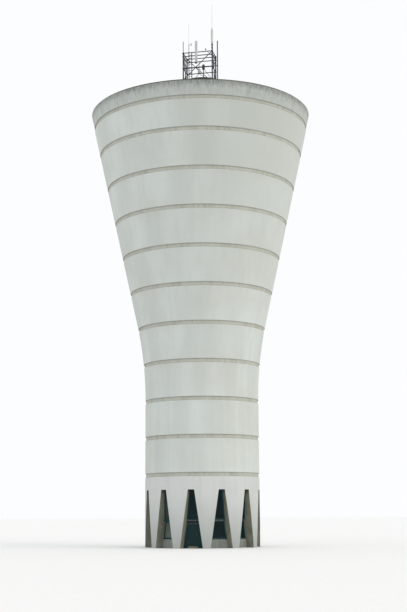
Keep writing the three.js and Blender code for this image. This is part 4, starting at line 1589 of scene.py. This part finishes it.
@dataclass
class AerialFrame:
    """The steel frame on the roof house: packed bars with joint clamps, braces and foot bolts."""

    turn_degrees: float = -1.55
    centre: tuple[float, float] = (-0.015, -0.05)
    half_width: float = 1.285 / 2
    half_depth: float = 0.7275 / 2
    foot: float = 19.705
    rails: tuple[float, ...] = (21.065, 20.91, 20.365, 19.755)
    rail_half: float = 0.01535
    clamp: float = 0.068
    clamp_height: float = 0.05
    clamp_bolt: float = 0.006
    clamp_bolt_side: float = 0.018
    clamp_bolt_head: float = 0.008
    stick_clamp: float = 21.207
    stick_clamp_size: tuple[float, float, float] = (0.07, 0.07, 0.035)
    stiffener_size: tuple[float, float] = (0.034, 0.044)
    foot_bolt: float = 0.008
    foot_bolt_height: float = 0.016
    foot_bolt_side: float = 0.045
    brace_radius: float = 0.011
    packed: tuple[str, ...] = (
        "mast_front_side", "mast_back_side", "mast_left_side", "mast_right_side", "mast_ladder"
    )

    @property
    def axes(self) -> np.ndarray:
        """The rows along the frame's width, along its depth and up."""
        return turn(np.eye(3), self.turn_degrees)

    def place(self, points: np.ndarray) -> np.ndarray:
        """Puts points of the frame's own square layout on the tower."""
        return turn(points, self.turn_degrees) + np.array([*self.centre, 0])

    def at(self, x: float, y: float, z: float) -> np.ndarray:
        """Puts one point of the frame's own layout on the tower."""
        return self.place(np.array([x, y, z]))

    def build(self) -> None:
        """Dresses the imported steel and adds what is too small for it."""
        for name in self.packed:
            dress(name, STEEL)
        self.clamps()
        self.braces()

    def clamps(self) -> None:
        """Clamps with bolt heads where rails meet posts, a stiffened middle rail, and foot bolts."""
        x, y, z = np.meshgrid([-1, 1], [-1, 1], self.rails, indexing="ij")
        corners = np.stack([x * self.half_width, y * self.half_depth, z], -1).reshape(-1, 3)
        work = Mesher()
        work.boxes(self.place(corners), [self.clamp, self.clamp, self.clamp_height], self.axes)
        stick_post = self.at(self.half_width, -self.half_depth, self.stick_clamp)
        work.boxes(stick_post, self.stick_clamp_size, self.axes)
        stiffener = self.at(0, -self.half_depth, self.rails[2])
        work.boxes(stiffener, [2 * self.half_width, *self.stiffener_size], self.axes)
        outwards = np.sign(corners) * [0, 1, 0]
        for side in (-self.clamp_bolt_side, self.clamp_bolt_side):
            face = corners + outwards * self.clamp / 2 + [side, 0, 0]
            starts, ends = face - outwards * 2 * MM, face + outwards * self.clamp_bolt_head
            work.rods(self.place(starts), self.place(ends), self.clamp_bolt, BOLT_SIDES)
        feet = np.unique(corners[:, :2], axis=0)
        for dx in (-self.foot_bolt_side, self.foot_bolt_side):
            for dy in (-self.foot_bolt_side, self.foot_bolt_side):
                starts = np.column_stack([feet + [dx, dy], np.full(len(feet), self.foot + 8 * MM)])
                ends = starts + [0, 0, self.foot_bolt_height]
                work.rods(self.place(starts), self.place(ends), self.foot_bolt, BOLT_SIDES)
        work.piece("frame_clamps", [STEEL], smooth=False)

    def braces(self) -> None:
        """Short knee braces between the posts, the rails and the foot of the frame."""
        w, d = self.half_width, self.half_depth
        top, second, middle, low = self.rails
        front = [
            ([-w + 0.03, -d, second - 0.02], [-w + 0.14, -d, middle]),
            ([-w + 0.14, -d, middle], [-w + 0.05, -d, low]),
            ([w - 0.02, -d, second - 0.05], [w - 0.2, -d, top - 0.02]),
            ([-0.122, -d, middle + 0.027], [0.01, -d, 20.244]),
            ([0.2735, -d - 0.06, 20.253], [w, -d, low]),
        ]
        back = [
            ([-w, d, low], [-0.1, d, middle]),
            ([-0.1, d, middle], [w, d, low]),
            ([-0.1, d, middle], [-0.1, d, second]),
            ([w - 0.18, d, middle], [w, d, second]),
        ]
        pairs = np.array(front + back, float)
        work = Mesher()
        work.rods(self.place(pairs[:, 0]), self.place(pairs[:, 1]), self.brace_radius, 10)
        work.piece("frame_knee_braces", [STEEL])


@dataclass
class Aerials:
    """What the frame carries, in round and rounded shapes."""

    steel: AerialFrame
    stick_tube: float = 21.44
    collar_radius: float = 0.0425
    tube_radius: float = 0.0515
    panel_x: float = -0.048
    panel_half: float = 0.055
    panel_depth: float = 0.06
    panel_edge: float = 0.02
    panel_standoff: float = 0.035
    panel_steps: int = 13
    plug_size: tuple[float, float, float] = (0.1, 0.05, 0.056)
    panel_levels: tuple[float, float] = (20.575, 21.545)
    sleeve_radius: float = 0.0225
    sleeve_top: float = 21.48
    sleeve_sides: int = 24
    dipole_radius: float = 0.0075
    pole_radius: float = 0.0225
    lamp_radius: float = 0.0275
    drum_x: float = 0.2735
    drum_radius: float = 0.0595
    drum_levels: tuple[float, float] = (20.21, 20.42)
    drum_standoff: float = 0.08
    drum_pole_radius: float = 0.02
    drum_pole_sides: int = 16
    arm_width: float = 0.04
    box_x: float = 0.0485
    box_levels: tuple[float, float] = (20.115, 20.28)
    box_width: float = 0.11
    box_depth: float = 0.094
    box_door: float = 0.006
    glands: int = 4
    gland_pitch: float = 0.02
    gland_radius: float = 0.006
    gland_sides: int = 8

    def build(self) -> None:
        """Builds the aerials, the pole, the lamp, the drum and the box."""
        self.stick()
        self.panel()
        self.whip()
        self.pole()
        self.lamp()
        self.drum()
        self.relay_box()

    def spindle(self, name: str, slot: Slot, finish: Finish, node: str, profile: list[list[float]]) -> None:
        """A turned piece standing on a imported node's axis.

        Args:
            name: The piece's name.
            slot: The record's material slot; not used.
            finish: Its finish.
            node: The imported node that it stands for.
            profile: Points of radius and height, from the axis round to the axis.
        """
        low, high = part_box(node)
        work = Mesher()
        work.spindle(np.array(profile), (low.x + high.x) / 2, (low.y + high.y) / 2, SPINDLE_SIDES)
        work.piece(name, [finish], [node])

    def stick(self) -> None:
        """The tall stick on the corner post: a ringed collar, a capped tube and a long whip."""
        low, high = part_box("stick_aerial_base")
        r, z0, z1 = self.collar_radius, low.z, high.z
        collar = [
            [0, z0], [r * 0.7, z0], [r * 0.7, z0 + 0.02], [r, z0 + 0.024], [r, z0 + 0.05],
            [r * 0.72, z0 + 0.054], [r * 0.72, z1 - 0.02], [r * 0.9, z1 - 0.016], [r * 0.9, z1], [0, z1],
        ]
        self.spindle("stick_aerial_collar", Slot.BLACK, BLACK_PLASTIC, "stick_aerial_base", collar)
        low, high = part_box("stick_aerial")
        r, z0, z1, tip = self.tube_radius, low.z, self.stick_tube, high.z
        tube = [
            [0, z0], [0.03, z0], [0.03, z1], [r * 0.85, z1], [r, z1 + 0.008], [r, z1 + 0.52],
            [r * 0.9, z1 + 0.54], [r * 0.58, z1 + 0.65], [r * 0.3, z1 + 0.68], [0.008, z1 + 0.69],
            [0.008, z1 + 0.75], [0.006, tip - 0.01], [0.003, tip], [0, tip],
        ]
        self.spindle("stick_aerial_tube", Slot.PALE, GLASS_FIBRE, "stick_aerial", tube)

    def panel(self) -> None:
        """The panel aerial: a rounded, slightly bowed cover on two clamped brackets, with a plug below.

        At turn a of half a turn the cover's front is at half (0.75 cos a + 0.25 cos^3 a) across, and bows
        out from its edge by sin^0.6 a of the rest of its depth.
        """
        steel = self.steel
        x, half, deep = self.panel_x, self.panel_half, self.panel_depth
        low, high = self.panel_levels
        face_y = -steel.half_depth - steel.rail_half
        back_y = face_y - self.panel_standoff
        angle = np.linspace(0, math.pi, self.panel_steps)
        across = half * (0.25 * np.cos(angle) ** 3 + 0.75 * np.cos(angle))
        bow = deep / 2 - self.panel_edge - (deep - self.panel_edge) * np.sin(angle) ** 0.6
        back = np.array([[-0.92 * half, deep / 2], [0.92 * half, deep / 2]])
        section = np.vstack([np.stack([across, bow], -1), back])
        z = np.array([low, low + 0.008, high - 0.012, high])
        scale = np.array([0.9, 1.0, 1.0, 0.88])
        flat = section[None] * scale[:, None, None] + [x, back_y - deep / 2]
        height = np.broadcast_to(z[:, None, None], (*flat.shape[:2], 1))
        work = Mesher()
        work.loft(steel.place(np.concatenate([flat, height], -1)))
        plug = steel.at(x - 0.007, back_y - deep / 2, low - 0.026)
        work.boxes(plug, self.plug_size, steel.axes, CarriedFace.PLUG)
        for rail in steel.rails[:2]:
            arm = steel.at(x, (back_y + face_y) / 2, rail)
            arm_size = [self.arm_width, self.panel_standoff + 2 * MM, 0.025]
            work.boxes(arm, arm_size, steel.axes, CarriedFace.FITTINGS)
            work.boxes(arm + [0, 0.012, 0], [0.06, 0.008, 0.04], steel.axes, CarriedFace.FITTINGS)
        finishes = [GLASS_FIBRE, STEEL, BLACK_PLASTIC]
        work.piece("panel_aerial_cover", finishes, ["panel_aerial"])

    def whip(self) -> None:
        """The left whip on its pale sleeve, with the small crossed dipole beside it."""
        low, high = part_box("whip_aerial")
        foot = np.array([-self.steel.half_width + 0.2425, -self.steel.half_depth + 0.03285, 0])
        x, y, _ = self.steel.place(foot)
        r, top, tip = self.sleeve_radius, self.sleeve_top, high.z
        profile = np.array([
            [0, low.z], [r, low.z], [r, top - 0.01], [r * 0.8, top], [0.007, top + 0.02],
            [0.006, tip - 0.01], [0.003, tip], [0, tip],
        ])
        work = Mesher()
        work.spindle(profile, x, y, self.sleeve_sides)
        dipole = np.array([
            [[0, 0, 21.44], [0.125, 0, 21.44]],
            [[0.1175, 0, 21.37], [0.1175, 0, 21.52]],
            [[0.06, 0, 21.41], [0.06, 0, 21.47]],
        ]) + foot
        starts, ends = self.steel.place(dipole[:, 0]), self.steel.place(dipole[:, 1])
        work.rods(starts, ends, self.dipole_radius, slot=CarriedFace.FITTINGS)
        work.piece("whip_aerial_rod", [GLASS_FIBRE, BLACK_PLASTIC], ["whip_aerial"])

    def pole(self) -> None:
        """The round pole beside the frame, chamfered at its top."""
        low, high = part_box("side_pole")
        r = self.pole_radius
        profile = [[0, low.z], [r, low.z], [r, high.z - 0.006], [r * 0.6, high.z], [0, high.z]]
        self.spindle("side_pole_tube", Slot.STEEL, STEEL, "side_pole", profile)

    def lamp(self) -> None:
        """The warning lamp on the top rail: a thin neck, a flange and the globe."""
        low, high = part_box("warning_lamp")
        r, top = self.lamp_radius, high.z
        profile = [
            [0, low.z], [0.01, low.z], [0.01, top - 0.065], [r, top - 0.06], [r, top - 0.048],
            [r * 0.8, top - 0.046], [r * 0.8, top - 0.02], [r * 0.55, top - 0.006], [0, top],
        ]
        self.spindle("warning_lamp_globe", Slot.BLACK, BLACK_PLASTIC, "warning_lamp", profile)

    def drum(self) -> None:
        """The small drum aerial on its own short pole, with an arm to each of the two low rails."""
        steel = self.steel
        y = -steel.half_depth - steel.rail_half - self.drum_standoff
        low, high = self.drum_levels
        centre_x, centre_y, _ = steel.at(self.drum_x, y, 0)
        r = self.drum_radius
        profile = np.array([
            [0, low], [r * 0.9, low], [r, low + 0.006], [r, high - 0.05], [r * 0.93, high - 0.045],
            [r * 0.93, high - 0.008], [r * 0.8, high], [0, high],
        ])
        work = Mesher()
        work.spindle(profile, centre_x, centre_y, SPINDLE_SIDES)
        ends = [centre_x, centre_y, steel.rails[3] - 0.015], [centre_x, centre_y, low + 0.002]
        work.rods(*ends, self.drum_pole_radius, self.drum_pole_sides, CarriedFace.FITTINGS)
        for rail in steel.rails[2:]:
            arm = steel.at(self.drum_x, y + self.drum_standoff / 2, rail)
            work.boxes(arm, [self.arm_width, self.drum_standoff, 0.03], steel.axes, CarriedFace.FITTINGS)
        work.piece("drum_aerial_shell", [BLACK_PLASTIC, STEEL], ["drum_aerial"])

    def relay_box(self) -> None:
        """The relay box with its door, its hanger on the middle rail and its cable glands."""
        steel = self.steel
        x, y = self.box_x, -steel.half_depth + steel.rail_half
        low, high = self.box_levels
        middle, tall = (low + high) / 2, high - low
        work = Mesher()
        case = steel.at(x, y + self.box_door + self.box_depth / 2, middle)
        work.boxes(case, [self.box_width, self.box_depth, tall], steel.axes)
        door = steel.at(x, y + self.box_door / 2, middle)
        work.boxes(door, [self.box_width - 0.01, self.box_door, tall - 0.014], steel.axes)
        rail_top = steel.rails[2] + steel.rail_half
        hanger = steel.at(x, y + 0.005, (high + rail_top) / 2)
        work.boxes(hanger, [self.arm_width, 0.01, rail_top - high + 0.004], steel.axes)
        across = x + (np.arange(self.glands) - (self.glands - 1) / 2) * self.gland_pitch
        glands = np.stack([across, np.full_like(across, y + 0.05), np.full_like(across, low - 0.012)], -1)
        starts, ends = steel.place(glands), steel.place(glands + [0, 0, 0.02])
        work.rods(starts, ends, self.gland_radius, self.gland_sides, CarriedFace.FITTINGS)
        work.piece("relay_box_case", [GLASS_FIBRE, BLACK_PLASTIC], ["relay_box"], smooth=False)


@dataclass
class Studio:
    """The camera at the photograph's viewpoint, a plain pale floor and soft light."""

    bearing: float = 10.95
    distance: float = 49.145
    aside: float = 0.087
    eye: float = 1.31
    pitch: float = 9.965
    roll: float = 0.327
    focal_pixels: float = 1185.1
    image_height: int = 612
    sensor: float = 36.0
    nearest: float = 0.5
    farthest: float = 2000.0
    floor_rings: tuple[float, ...] = (0.0, 5.0, 20.0, 80.0, 400.0)
    floor_level: float = -0.001
    floor_sides: int = 96
    sky_colour: str = "fcfdfe"
    lamp_colour: str = "fff4e2"
    lamp_strength: float = 0.77
    lamp_spread: float = 50.0
    lamp_side: float = 62.0
    lamp_tilt: float = 55.0

    def camera(self) -> None:
        """The camera: set back from the axis on its bearing, pitched up and rolled slightly."""
        data = bpy.data.cameras.new("camera")
        data.sensor_width = self.sensor
        data.sensor_fit = "AUTO"
        data.lens = self.sensor * self.focal_pixels / self.image_height
        data.clip_start = self.nearest
        data.clip_end = self.farthest
        made = bpy.data.objects.new("camera", data)
        bpy.context.scene.collection.objects.link(made)
        swing = Matrix.Rotation(math.radians(self.bearing), 4, "Z")
        move = Matrix.Translation((self.aside, -self.distance, self.eye))
        tilt = Matrix.Rotation(math.radians(90 + self.pitch), 4, "X")
        lean = Matrix.Rotation(math.radians(-self.roll), 4, "Z")
        made.matrix_world = swing @ move @ tilt @ lean
        bpy.context.scene.camera = made

    def floor(self) -> None:
        """A round pale floor just under the tower's foot."""
        work = Mesher()
        profile = np.array([[radius, self.floor_level] for radius in self.floor_rings])
        work.grid(turned(profile, self.floor_sides), close=(True, False))
        made = bpy.data.objects.new("studio_floor", work.mesh("studio_floor", [FLOOR_COAT], True))
        bpy.context.scene.collection.objects.link(made)

    def light(self) -> None:
        """An even pale sky, and a very wide lamp high on the camera's right."""
        world = bpy.data.worlds.new("studio_sky")
        world.use_nodes = True
        sky = world.node_tree.nodes["Background"]
        sky.inputs["Color"].default_value = linear(self.sky_colour)
        sky.inputs["Strength"].default_value = 1.0
        bpy.context.scene.world = world
        lamp = bpy.data.lights.new("wide_lamp", "SUN")
        lamp.color = linear(self.lamp_colour)[:3]
        lamp.energy = self.lamp_strength
        lamp.angle = math.radians(self.lamp_spread)
        made = bpy.data.objects.new("wide_lamp", lamp)
        bpy.context.scene.collection.objects.link(made)
        swing = Matrix.Rotation(math.radians(self.bearing + self.lamp_side), 4, "Z")
        made.matrix_world = swing @ Matrix.Rotation(math.radians(self.lamp_tilt), 4, "X")

    def build(self) -> None:
        """Sets up the camera, the floor and the light."""
        self.camera()
        self.floor()
        self.light()
        bpy.context.scene.view_settings.view_transform = "Standard"


def main() -> None:
    """Builds the studio and the tower's sub-assemblies in order."""
    logging.basicConfig(level=logging.INFO, format="%(name)s: %(message)s")
    Studio().build()
    TowerWall().build()
    Legs().build()
    screens = BayScreens()
    screens.build()
    Entrance(screens).build()
    RimAndRoof().build()
    dress("ground_floor", REVEAL_CONCRETE)
    steel = AerialFrame()
    steel.build()
    Aerials(steel).build()


if __name__ == "__main__":
    main()
